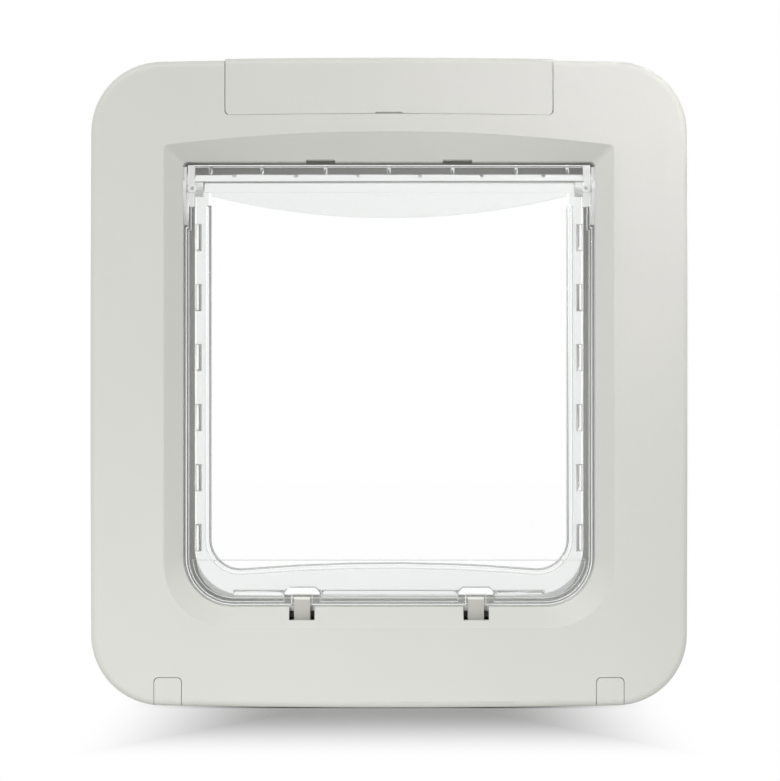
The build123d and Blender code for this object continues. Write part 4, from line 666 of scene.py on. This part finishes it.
def rounded_copy(node, roundings, cuts):
    """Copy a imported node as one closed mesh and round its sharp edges, each depth with a radius of its own.

    A cut divides the faces at one depth along a line square to its direction, to take two finishes.
    """
    work = bmesh.new()
    work.from_mesh(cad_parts[node].data)
    bmesh.ops.remove_doubles(work, verts=work.verts, dist=WELD_DISTANCE)
    bmesh.ops.dissolve_limit(work, angle_limit=math.radians(1.0), verts=work.verts, edges=work.edges)
    for depth, direction, distance in cuts:
        faces = [face for face in work.faces if lies_at(depth, face)]
        edges = {edge for face in faces for edge in face.edges}
        verts = {vert for face in faces for vert in face.verts}
        normal = Vector((direction[0], 0, direction[1]))
        parts = [*faces, *edges, *verts]
        point = distance * normal
        bmesh.ops.bisect_plane(work, geom=parts, dist=CUT_TOLERANCE, plane_co=point, plane_no=normal)
    widest = max(roundings.values())
    weight = work.edges.layers.float.new("bevel_weight_edge")
    for edge in work.edges:
        if not edge.is_manifold or edge.calc_face_angle() < SHARP_TURN or edge.calc_length() < SHORTEST_EDGE:
            continue
        for depth, radius in roundings.items():
            if lies_at(depth, edge):
                edge[weight] = radius / widest
    mesh = finished_mesh(node + "_moulding", work)
    mesh.polygons.foreach_set("use_smooth", [True] * len(mesh.polygons))
    mesh.set_sharp_from_angle(angle=math.radians(30))
    copy = add_object(node + "_moulding", mesh)
    rounding = copy.modifiers.new("rounding", "BEVEL")
    rounding.limit_method = "WEIGHT"
    rounding.width = widest
    rounding.segments = 4
    rounding.harden_normals = True
    rounding.use_clamp_overlap = False
    bpy.context.view_layer.update()
    rounded = bpy.data.meshes.new_from_object(copy.evaluated_get(bpy.context.evaluated_depsgraph_get()))
    keep_flats(rounded)
    copy.data = rounded
    copy.modifiers.clear()
    return copy


BROW_FACE = -0.0234
BAND_FACE = -0.0242
BEAD_CREST = -0.0250
LIP_CREST = -0.0260
FLAP_BACK = -0.0200
PANE_FACE = -0.0224
RING_EDGE = 0.0850
RING_FOOT = -0.0950
RING_CORNER = 0.0180
RING_CUTS = 6
WINDOW_EDGE = 0.0797
WINDOW_FOOT = -0.0835
END_BLOCK_START = 0.0854
KNUCKLE_START = 0.0819
KNUCKLE_LOW = 0.0822
KNUCKLE_HIGH = 0.0898
BLOCK_LOW = 0.0778
BARREL_LOW = 0.0890
BARREL_HIGH = 0.0921
FACE_TOLERANCE = 0.00002
STEP_TOLERANCE = 0.0001
FACING_SHARE = 0.97
ring_cuts = []
for side in (-1, 1):
    for step in range(RING_CUTS + 1):
        angle = math.radians(90 * step / RING_CUTS)
        direction = (side * math.cos(angle), -math.sin(angle))
        corner = ((RING_EDGE - RING_CORNER) * math.cos(angle), -(RING_FOOT + RING_CORNER) * math.sin(angle))
        ring_cuts.append((direction, sum(corner) + RING_CORNER))
flap_moulding = rounded_copy(
    "flap",
    {BEAD_CREST: 0.0011, BAND_FACE: 0.0007, LIP_CREST: 0.0004, FLAP_BACK: 0.0003},
    [
        (PANE_FACE, (1, 0), -WINDOW_EDGE),
        (PANE_FACE, (1, 0), WINDOW_EDGE),
        (LIP_CREST, (1, 0), -END_BLOCK_START),
        (LIP_CREST, (1, 0), END_BLOCK_START),
        (LIP_CREST, (0, 1), BLOCK_LOW),
        *[(PANE_FACE, *cut) for cut in ring_cuts],
    ],
)
CLEAR, FROSTED, EDGE, MILKY = range(4)
for finish in (clear_moulding, frosted_moulding, edge_moulding, milky_moulding):
    flap_moulding.data.materials.append(finish)
for polygon in flap_moulding.data.polygons:
    middle = polygon.center
    widest_x = max(abs(flap_moulding.data.vertices[vert].co.x) for vert in polygon.vertices)
    lowest_z = min(flap_moulding.data.vertices[vert].co.z for vert in polygon.vertices)
    in_block = abs(middle.x) > END_BLOCK_START and middle.z > BLOCK_LOW
    in_knuckle = abs(middle.x) > KNUCKLE_START and KNUCKLE_LOW < middle.z < KNUCKLE_HIGH
    proud = middle.y < PANE_FACE - STEP_TOLERANCE
    on_pane = abs(middle.y - PANE_FACE) < FACE_TOLERANCE
    on_crest = any(abs(middle.y - face) < FACE_TOLERANCE for face in (BROW_FACE, BAND_FACE, BEAD_CREST))
    on_barrel = abs(middle.y - LIP_CREST) < FACE_TOLERANCE and BARREL_LOW < middle.z < BARREL_HIGH
    round_window = widest_x > WINDOW_EDGE + STEP_TOLERANCE or lowest_z < WINDOW_FOOT
    if proud and (in_block or in_knuckle):
        polygon.material_index = MILKY
    elif on_crest or on_barrel:
        polygon.material_index = FROSTED
    elif on_pane and middle.z > BARREL_HIGH:
        polygon.material_index = CLEAR
    elif on_pane and round_window:
        beyond = [middle.x * across + middle.z * up > distance for (across, up), distance in ring_cuts]
        polygon.material_index = CLEAR if any(beyond) else FROSTED
    elif LIP_CREST < middle.y and proud and abs(polygon.normal.y) < FACING_SHARE and middle.z < BARREL_HIGH:
        polygon.material_index = EDGE
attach(flap_moulding, "flap")
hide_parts("flap")

# Battery cells: four of size C in plain shrunk sleeves, with steel ends and a pressed nub.
# They lie end to end, two on each side of the control pod, all with the nub to the right.
CELL_STEEL, CELL_SLEEVE, CELL_BAND = range(3)
CELL_STARTS = (-0.0676, -0.1177, 0.0176, 0.0677)
CELL_STEPS = [
    (0.0004, 0.0, CELL_STEEL),
    (0.0004, 0.0096, CELL_STEEL),
    (0.0009, 0.0099, CELL_STEEL),
    (0.0009, 0.0106, CELL_SLEEVE),
    (0.0002, 0.0109, CELL_SLEEVE),
    (0.0, 0.0113, CELL_SLEEVE),
    (0.0, 0.0122, CELL_SLEEVE),
    (0.0003, 0.0128, CELL_SLEEVE),
    (0.0009, 0.0131, CELL_SLEEVE),
    (0.0360, 0.0131, CELL_BAND),
    (0.0472, 0.0131, CELL_SLEEVE),
    (0.0478, 0.0128, CELL_SLEEVE),
    (0.0482, 0.0122, CELL_SLEEVE),
    (0.0484, 0.0114, CELL_SLEEVE),
    (0.0484, 0.0104, CELL_STEEL),
    (0.0479, 0.0101, CELL_STEEL),
    (0.0479, 0.0042, CELL_STEEL),
    (0.0483, 0.0034, CELL_STEEL),
    (0.0486, 0.0029, CELL_STEEL),
    (0.0496, 0.0029, CELL_STEEL),
    (0.0499, 0.0026, CELL_STEEL),
    (0.0500, 0.0021, CELL_STEEL),
    (0.0500, 0.0, CELL_STEEL),
]
WRAP_TONE = (0.045, 0.05, 0.06)
BAND_TONE = (0.42, 0.43, 0.44)
cell_sleeve = moulded_plastic("cell_sleeve", WRAP_TONE, roughness=0.24, edge_radius=0.0)
cell_band = moulded_plastic("cell_band", BAND_TONE, roughness=0.26, edge_radius=0.0)
for number, start in enumerate(CELL_STARTS, 1):
    cell_work = bmesh.new()
    turn(cell_work, CELL_STEPS, Vector((start, *CELL_AXIS)), Vector((1, 0, 0)), segments=64)
    bmesh.ops.recalc_face_normals(cell_work, faces=cell_work.faces)
    cell_mesh = finished_mesh(f"sleeved_cell_{number}", cell_work)
    cell_mesh.set_sharp_from_angle(angle=math.radians(40))
    for finish in (steel, cell_sleeve, cell_band):
        cell_mesh.materials.append(finish)
    sleeved_cell = add_object(f"sleeved_cell_{number}", cell_mesh)
    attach(sleeved_cell, "housing")
    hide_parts(f"battery_cell_{number}")

# Battery cover: the lid over the frame's top edge, moulded in the frame's plastic.
# Two tongues hold it under the frame's rim, and it pulls straight off by the nail slot in its lower edge.
COVER_SIDE = 0.0717
COVER_SEAM = 0.1178
COVER_SEAM_RISE = 0.0006
SEAM_CLOSING = 0.00018
CLOSING_REACH = 0.0010
cover_work = bmesh.new()
cover_work.from_mesh(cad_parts["battery_cover"].data)
bmesh.ops.remove_doubles(cover_work, verts=cover_work.verts, dist=WELD_DISTANCE)
for vert in cover_work.verts:
    seam = COVER_SEAM + COVER_SEAM_RISE * (1 - (vert.co.x / COVER_SIDE) ** 2)
    if vert.co.z < seam + CLOSING_REACH:
        vert.co.z -= SEAM_CLOSING * (1 - max(0.0, vert.co.z - seam) / CLOSING_REACH)
cover_mesh = finished_mesh("closed_cover", cover_work)
cover_mesh.polygons.foreach_set("use_smooth", [True] * len(cover_mesh.polygons))
cover_mesh.set_sharp_from_angle(angle=math.radians(30))
keep_flats(cover_mesh)
cover_mesh.materials.append(body_plastic)
closed_cover = add_object("closed_cover", cover_mesh)
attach(closed_cover, "battery_cover")
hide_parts("battery_cover")

# Screw covers: two small caps over the lower fixing screws, also in the frame's plastic.
# Each fills its pocket in the frame's edge and pulls off.
dress(body_plastic, "screw_cover_left", "screw_cover_right")

# Outdoor frame: the second moulded frame, hollow behind its face, which grips the door from outdoors.
# Four bosses take the fixing screws, and the tunnel's end seats in it.
dress(body_plastic, "exterior_frame")

# Fixing screws: four long M4 pan-head screws, which pull the outdoor frame against the door.
# They are of zinc-plated steel, with a rolled thread and a cross recess.
SCREW_SEAT = -0.0137
SCREW_TIP = 0.0470
LOWER_SCREW = (0.0969, -0.1345)
UPPER_SCREW = (0.0600, 0.1352)
THREAD_PITCH = 0.0007
THREAD_DEPTH = 0.00043
SHANK_RADIUS = 0.0020
PLATED = 0
HEAD_STEPS = [
    (0.0, 0.0, PLATED),
    (0.0, 0.0034, PLATED),
    (0.0001, 0.0035, PLATED),
    (0.0012, 0.0035, PLATED),
    (0.0020, 0.00325, PLATED),
    (0.0025, 0.0028, PLATED),
    (0.0028, 0.0020, PLATED),
    (0.0028, 0.0, PLATED),
]
RECESS_LENGTH = 0.0038
RECESS_WIDTH = 0.0009
RECESS_DEPTH = 0.0014
THREAD_SIDES = 24
THREAD_WELD = 0.000001

screw_tree, screw_in, screw_out = start_tree(
    "threaded screws",
    {
        "Shank Radius": ("Float", SHANK_RADIUS),
        "Thread Depth": ("Float", THREAD_DEPTH),
        "Pitch": ("Float", THREAD_PITCH),
        "Turns": ("Int", 80),
        "Lower Start": ("Vector", (0, 0, 0)),
        "Lower Step": ("Vector", (0, 0, 0)),
        "Upper Start": ("Vector", (0, 0, 0)),
        "Upper Step": ("Vector", (0, 0, 0)),
    },
)
rows = calculate(screw_tree, "MULTIPLY_ADD", screw_in.outputs["Turns"], 2, 1)
thread_grid = screw_tree.nodes.new("GeometryNodeMeshGrid")
thread_grid.inputs["Size X"].default_value = 1
thread_grid.inputs["Size Y"].default_value = 1
thread_grid.inputs["Vertices X"].default_value = THREAD_SIDES + 1
link(screw_tree, rows, thread_grid.inputs["Vertices Y"])
flat_place = screw_tree.nodes.new("GeometryNodeInputPosition")
flat_split = screw_tree.nodes.new("ShaderNodeSeparateXYZ")
link(screw_tree, flat_place.outputs["Position"], flat_split.inputs["Vector"])
around = calculate(screw_tree, "ADD", flat_split.outputs["X"], 0.5)
row_share = calculate(screw_tree, "ADD", flat_split.outputs["Y"], 0.5)
last_row = calculate(screw_tree, "SUBTRACT", rows, 1)
row = calculate(screw_tree, "ROUND", calculate(screw_tree, "MULTIPLY", row_share, last_row))
at_root = calculate(screw_tree, "MODULO", row, 2)
cut = calculate(screw_tree, "MULTIPLY", at_root, screw_in.outputs["Thread Depth"])
radius = calculate(screw_tree, "SUBTRACT", screw_in.outputs["Shank Radius"], cut)
angle = calculate(screw_tree, "MULTIPLY", around, 2 * math.pi)
along_turns = calculate(screw_tree, "MULTIPLY_ADD", row, 0.5, around)
cosine = calculate(screw_tree, "COSINE", angle)
sine = calculate(screw_tree, "MULTIPLY", calculate(screw_tree, "SINE", angle), -1)
helix = screw_tree.nodes.new("ShaderNodeCombineXYZ")
link(screw_tree, calculate(screw_tree, "MULTIPLY", radius, cosine), helix.inputs["X"])
link(screw_tree, calculate(screw_tree, "MULTIPLY", along_turns, screw_in.outputs["Pitch"]), helix.inputs["Y"])
link(screw_tree, calculate(screw_tree, "MULTIPLY", radius, sine), helix.inputs["Z"])
wrap = screw_tree.nodes.new("GeometryNodeSetPosition")
link(screw_tree, thread_grid.outputs["Mesh"], wrap.inputs["Geometry"])
link(screw_tree, helix.outputs["Vector"], wrap.inputs["Position"])
weld = screw_tree.nodes.new("GeometryNodeMergeByDistance")
weld.inputs["Distance"].default_value = THREAD_WELD
link(screw_tree, wrap.outputs["Geometry"], weld.inputs["Geometry"])
recess = screw_tree.nodes.new("GeometryNodeMeshBoolean")
recess.operation = "DIFFERENCE"
recess.solver = "EXACT"
link(screw_tree, screw_in.outputs["Geometry"], recess.inputs["Mesh 1"])
for arm in ((RECESS_LENGTH, 2 * RECESS_DEPTH, RECESS_WIDTH), (RECESS_WIDTH, 2 * RECESS_DEPTH, RECESS_LENGTH)):
    bar = screw_tree.nodes.new("GeometryNodeMeshCube")
    bar.inputs["Size"].default_value = arm
    sunk = screw_tree.nodes.new("GeometryNodeTransform")
    sunk.inputs["Translation"].default_value = (0, -HEAD_STEPS[-1][0], 0)
    link(screw_tree, bar.outputs["Mesh"], sunk.inputs["Geometry"])
    link(screw_tree, sunk.outputs["Geometry"], recess.inputs["Mesh 2"])
screw = screw_tree.nodes.new("GeometryNodeJoinGeometry")
link(screw_tree, weld.outputs["Geometry"], screw.inputs["Geometry"])
link(screw_tree, recess.outputs["Mesh"], screw.inputs["Geometry"])
seats = screw_tree.nodes.new("GeometryNodeJoinGeometry")
for pair in ("Lower", "Upper"):
    seat_line = screw_tree.nodes.new("GeometryNodeMeshLine")
    seat_line.inputs["Count"].default_value = 2
    link(screw_tree, screw_in.outputs[pair + " Start"], seat_line.inputs["Start Location"])
    link(screw_tree, screw_in.outputs[pair + " Step"], seat_line.inputs["Offset"])
    link(screw_tree, seat_line.outputs["Mesh"], seats.inputs["Geometry"])
placed = screw_tree.nodes.new("GeometryNodeInstanceOnPoints")
link(screw_tree, seats.outputs["Geometry"], placed.inputs["Points"])
link(screw_tree, screw.outputs["Geometry"], placed.inputs["Instance"])
finish_tree(screw_tree, placed.outputs["Instances"], screw_out, steel)

head_work = bmesh.new()
turn(head_work, HEAD_STEPS, Vector((0, 0, 0)), to_room, segments=32)
bmesh.ops.recalc_face_normals(head_work, faces=head_work.faces)
head_mesh = finished_mesh("screw_head", head_work)
threaded_screws = grown_mesh(
    "threaded_screws",
    head_mesh,
    screw_tree,
    {
        "Turns": int((SCREW_TIP - SCREW_SEAT) / THREAD_PITCH) - 1,
        "Lower Start": (-LOWER_SCREW[0], SCREW_SEAT, LOWER_SCREW[1]),
        "Lower Step": (2 * LOWER_SCREW[0], 0, 0),
        "Upper Start": (-UPPER_SCREW[0], SCREW_SEAT, UPPER_SCREW[1]),
        "Upper Step": (2 * UPPER_SCREW[0], 0, 0),
    },
)
screw_work = bmesh.new()
screw_work.from_mesh(threaded_screws.data)
bmesh.ops.holes_fill(screw_work, edges=[edge for edge in screw_work.edges if edge.is_boundary], sides=0)
bmesh.ops.recalc_face_normals(screw_work, faces=screw_work.faces)
screw_work.to_mesh(threaded_screws.data)
screw_work.free()
threaded_screws.data.set_sharp_from_angle(angle=math.radians(30))
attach(threaded_screws, "housing")
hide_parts("fixing_screws")

# Camera: straight on and level with the opening, as in the photograph.
# Its place and its lens give the photograph's frame of 780 by 781 pixels.
PHOTO_WIDTH = 780
PHOTO_HEIGHT = 781
PHOTO_CENTRE = (389.0, 383.5)
METRES_PER_PIXEL = 0.0004378
CAMERA_DISTANCE = 1.243
SENSOR_WIDTH = 36.0
FAR_CLIP = 50.0
front_y = cad_box[0][1]
camera_data = bpy.data.cameras.new("camera")
camera_data.sensor_fit = "HORIZONTAL"
camera_data.sensor_width = SENSOR_WIDTH
camera_data.lens = SENSOR_WIDTH * CAMERA_DISTANCE / (PHOTO_WIDTH * METRES_PER_PIXEL)
camera_data.clip_end = FAR_CLIP
camera = add_object("camera", camera_data)
camera.location = (
    (PHOTO_WIDTH / 2 - PHOTO_CENTRE[0]) * METRES_PER_PIXEL,
    front_y - CAMERA_DISTANCE,
    (PHOTO_CENTRE[1] - PHOTO_HEIGHT / 2) * METRES_PER_PIXEL,
)
camera.rotation_euler = (math.radians(90), 0, 0)
bpy.context.scene.camera = camera


# Studio: a white floor that keeps the object's shadow and, for the camera, adds a painted contact shadow near
# the object's foot; an even white surround and soft lamps.
# The key hangs high on the left and the fill on the right.
# Two weak lamps lighten the foot and the upper right corner.
def soft_lamp(name, place, aim, size, watts, spread=180.0):
    """Hang a square soft lamp here, aimed at a point."""
    data = bpy.data.lights.new(name, "AREA")
    data.size = size
    data.energy = watts
    data.spread = math.radians(spread)
    lamp = add_object(name, data)
    lamp.location = place
    lamp.rotation_euler = (Vector(aim) - Vector(place)).to_track_quat("-Z", "Y").to_euler()


WORLD_LIGHT = 0.53
soft_lamp("key_lamp", (-1.25, -1.95, 2.15), aim=(0, 0, 0), size=1.6, watts=29.5)
soft_lamp("fill_lamp", (2.4, -1.6, 0.6), aim=(0, 0, 0), size=1.7, watts=9.5)
soft_lamp("low_lamp", (-0.4, -1.4, 0.1), aim=(-0.05, 0, -0.39), size=0.35, watts=0.24, spread=34.0)
soft_lamp("corner_lamp", (0.9, -1.2, 0.9), aim=(0.19, 0, 0.2), size=0.2, watts=0.095, spread=12.0)

world = bpy.data.worlds.new("studio")
bpy.context.scene.world = world
world.use_nodes = True
sky = world.node_tree
path = add_node(sky, "ShaderNodeLightPath")
seen = add_node(sky, "ShaderNodeMath", operation="MAXIMUM")
link(sky, path.outputs["Is Camera Ray"], seen.inputs[0])
link(sky, path.outputs["Is Transmission Ray"], seen.inputs[1])
shown = add_node(sky, "ShaderNodeMath", operation="MAXIMUM")
link(sky, seen.outputs["Value"], shown.inputs[0])
link(sky, path.outputs["Is Glossy Ray"], shown.inputs[1])
strength = add_node(sky, "ShaderNodeMapRange")
strength.inputs["To Min"].default_value = WORLD_LIGHT
strength.inputs["To Max"].default_value = 1.0
link(sky, shown.outputs["Value"], strength.inputs["Value"])
link(sky, strength.outputs["Result"], sky.nodes["Background"].inputs["Strength"])
sky.nodes["Background"].inputs["Color"].default_value = (1, 1, 1, 1)

FLOOR_SIZE = 6.0
FLOOR_TONE = 0.9
FLOOR_PAINTED_SHADOW_TONE = 0.44
# The fades set how far the painted contact shadow reaches in front, behind and to the sides, beyond which the
# floor glows white for the camera.
FRONT_FADE = (-0.045, -0.2)
BACK_FADE = (0.0, 0.08)
SIDE_FADE = (0.04, 0.125)
half = FLOOR_SIZE / 2
floor_plan = ((-half, -half), (half, -half), (half, half), (-half, half))
floor_corners = [(x, y, cad_box[0][2]) for x, y in floor_plan]
floor_mesh = bpy.data.meshes.new("floor")
floor_mesh.from_pydata(floor_corners, [], [(0, 1, 2, 3)])
floor = add_object("floor", floor_mesh)
floor_paint, floor_tree, floor_shader = new_material("floor_paint")
floor_shader.inputs["Roughness"].default_value = 0.8
floor_shader.inputs["Specular IOR Level"].default_value = 0.0
place = add_node(floor_tree, "ShaderNodeTexCoord")
split = add_node(floor_tree, "ShaderNodeSeparateXYZ")
link(floor_tree, place.outputs["Object"], split.inputs["Vector"])
aside = add_node(floor_tree, "ShaderNodeMath", operation="ABSOLUTE")
link(floor_tree, split.outputs["X"], aside.inputs[0])
away = None
along_y = split.outputs["Y"]
fades = ((along_y, FRONT_FADE), (along_y, BACK_FADE), (aside.outputs["Value"], SIDE_FADE))
for distance, (near, far) in fades:
    fade = add_node(floor_tree, "ShaderNodeMapRange", interpolation_type="SMOOTHSTEP")
    fade.inputs["From Min"].default_value = near
    fade.inputs["From Max"].default_value = far
    link(floor_tree, distance, fade.inputs["Value"])
    if away is None:
        away = fade.outputs["Result"]
    else:
        farther = add_node(floor_tree, "ShaderNodeMath", operation="MAXIMUM")
        link(floor_tree, away, farther.inputs[0])
        link(floor_tree, fade.outputs["Result"], farther.inputs[1])
        away = farther.outputs["Value"]
floor_path = add_node(floor_tree, "ShaderNodeLightPath")
looked_at = add_node(floor_tree, "ShaderNodeMath", operation="MAXIMUM")
link(floor_tree, floor_path.outputs["Is Camera Ray"], looked_at.inputs[0])
link(floor_tree, floor_path.outputs["Is Transmission Ray"], looked_at.inputs[1])
glow = add_node(floor_tree, "ShaderNodeMath", operation="MULTIPLY")
link(floor_tree, away, glow.inputs[0])
link(floor_tree, looked_at.outputs["Value"], glow.inputs[1])
link(floor_tree, glow.outputs["Value"], floor_shader.inputs["Emission Strength"])
floor_shader.inputs["Emission Color"].default_value = (1, 1, 1, 1)
# Seen from the camera, the floor's colour drops to the painted shadow tone near the object's foot, a painted
# contact shadow over the real one.
painted_shadow_tone = add_node(floor_tree, "ShaderNodeMapRange")
painted_shadow_tone.inputs["To Min"].default_value = FLOOR_PAINTED_SHADOW_TONE
painted_shadow_tone.inputs["To Max"].default_value = 0.0
link(floor_tree, away, painted_shadow_tone.inputs["Value"])
tone = add_node(floor_tree, "ShaderNodeMapRange")
tone.inputs["To Min"].default_value = FLOOR_TONE
link(floor_tree, painted_shadow_tone.outputs["Result"], tone.inputs["To Max"])
link(floor_tree, looked_at.outputs["Value"], tone.inputs["Value"])
link(floor_tree, tone.outputs["Result"], floor_shader.inputs["Base Color"])
floor_mesh.materials.append(floor_paint)

bpy.context.scene.view_settings.view_transform = "Standard"
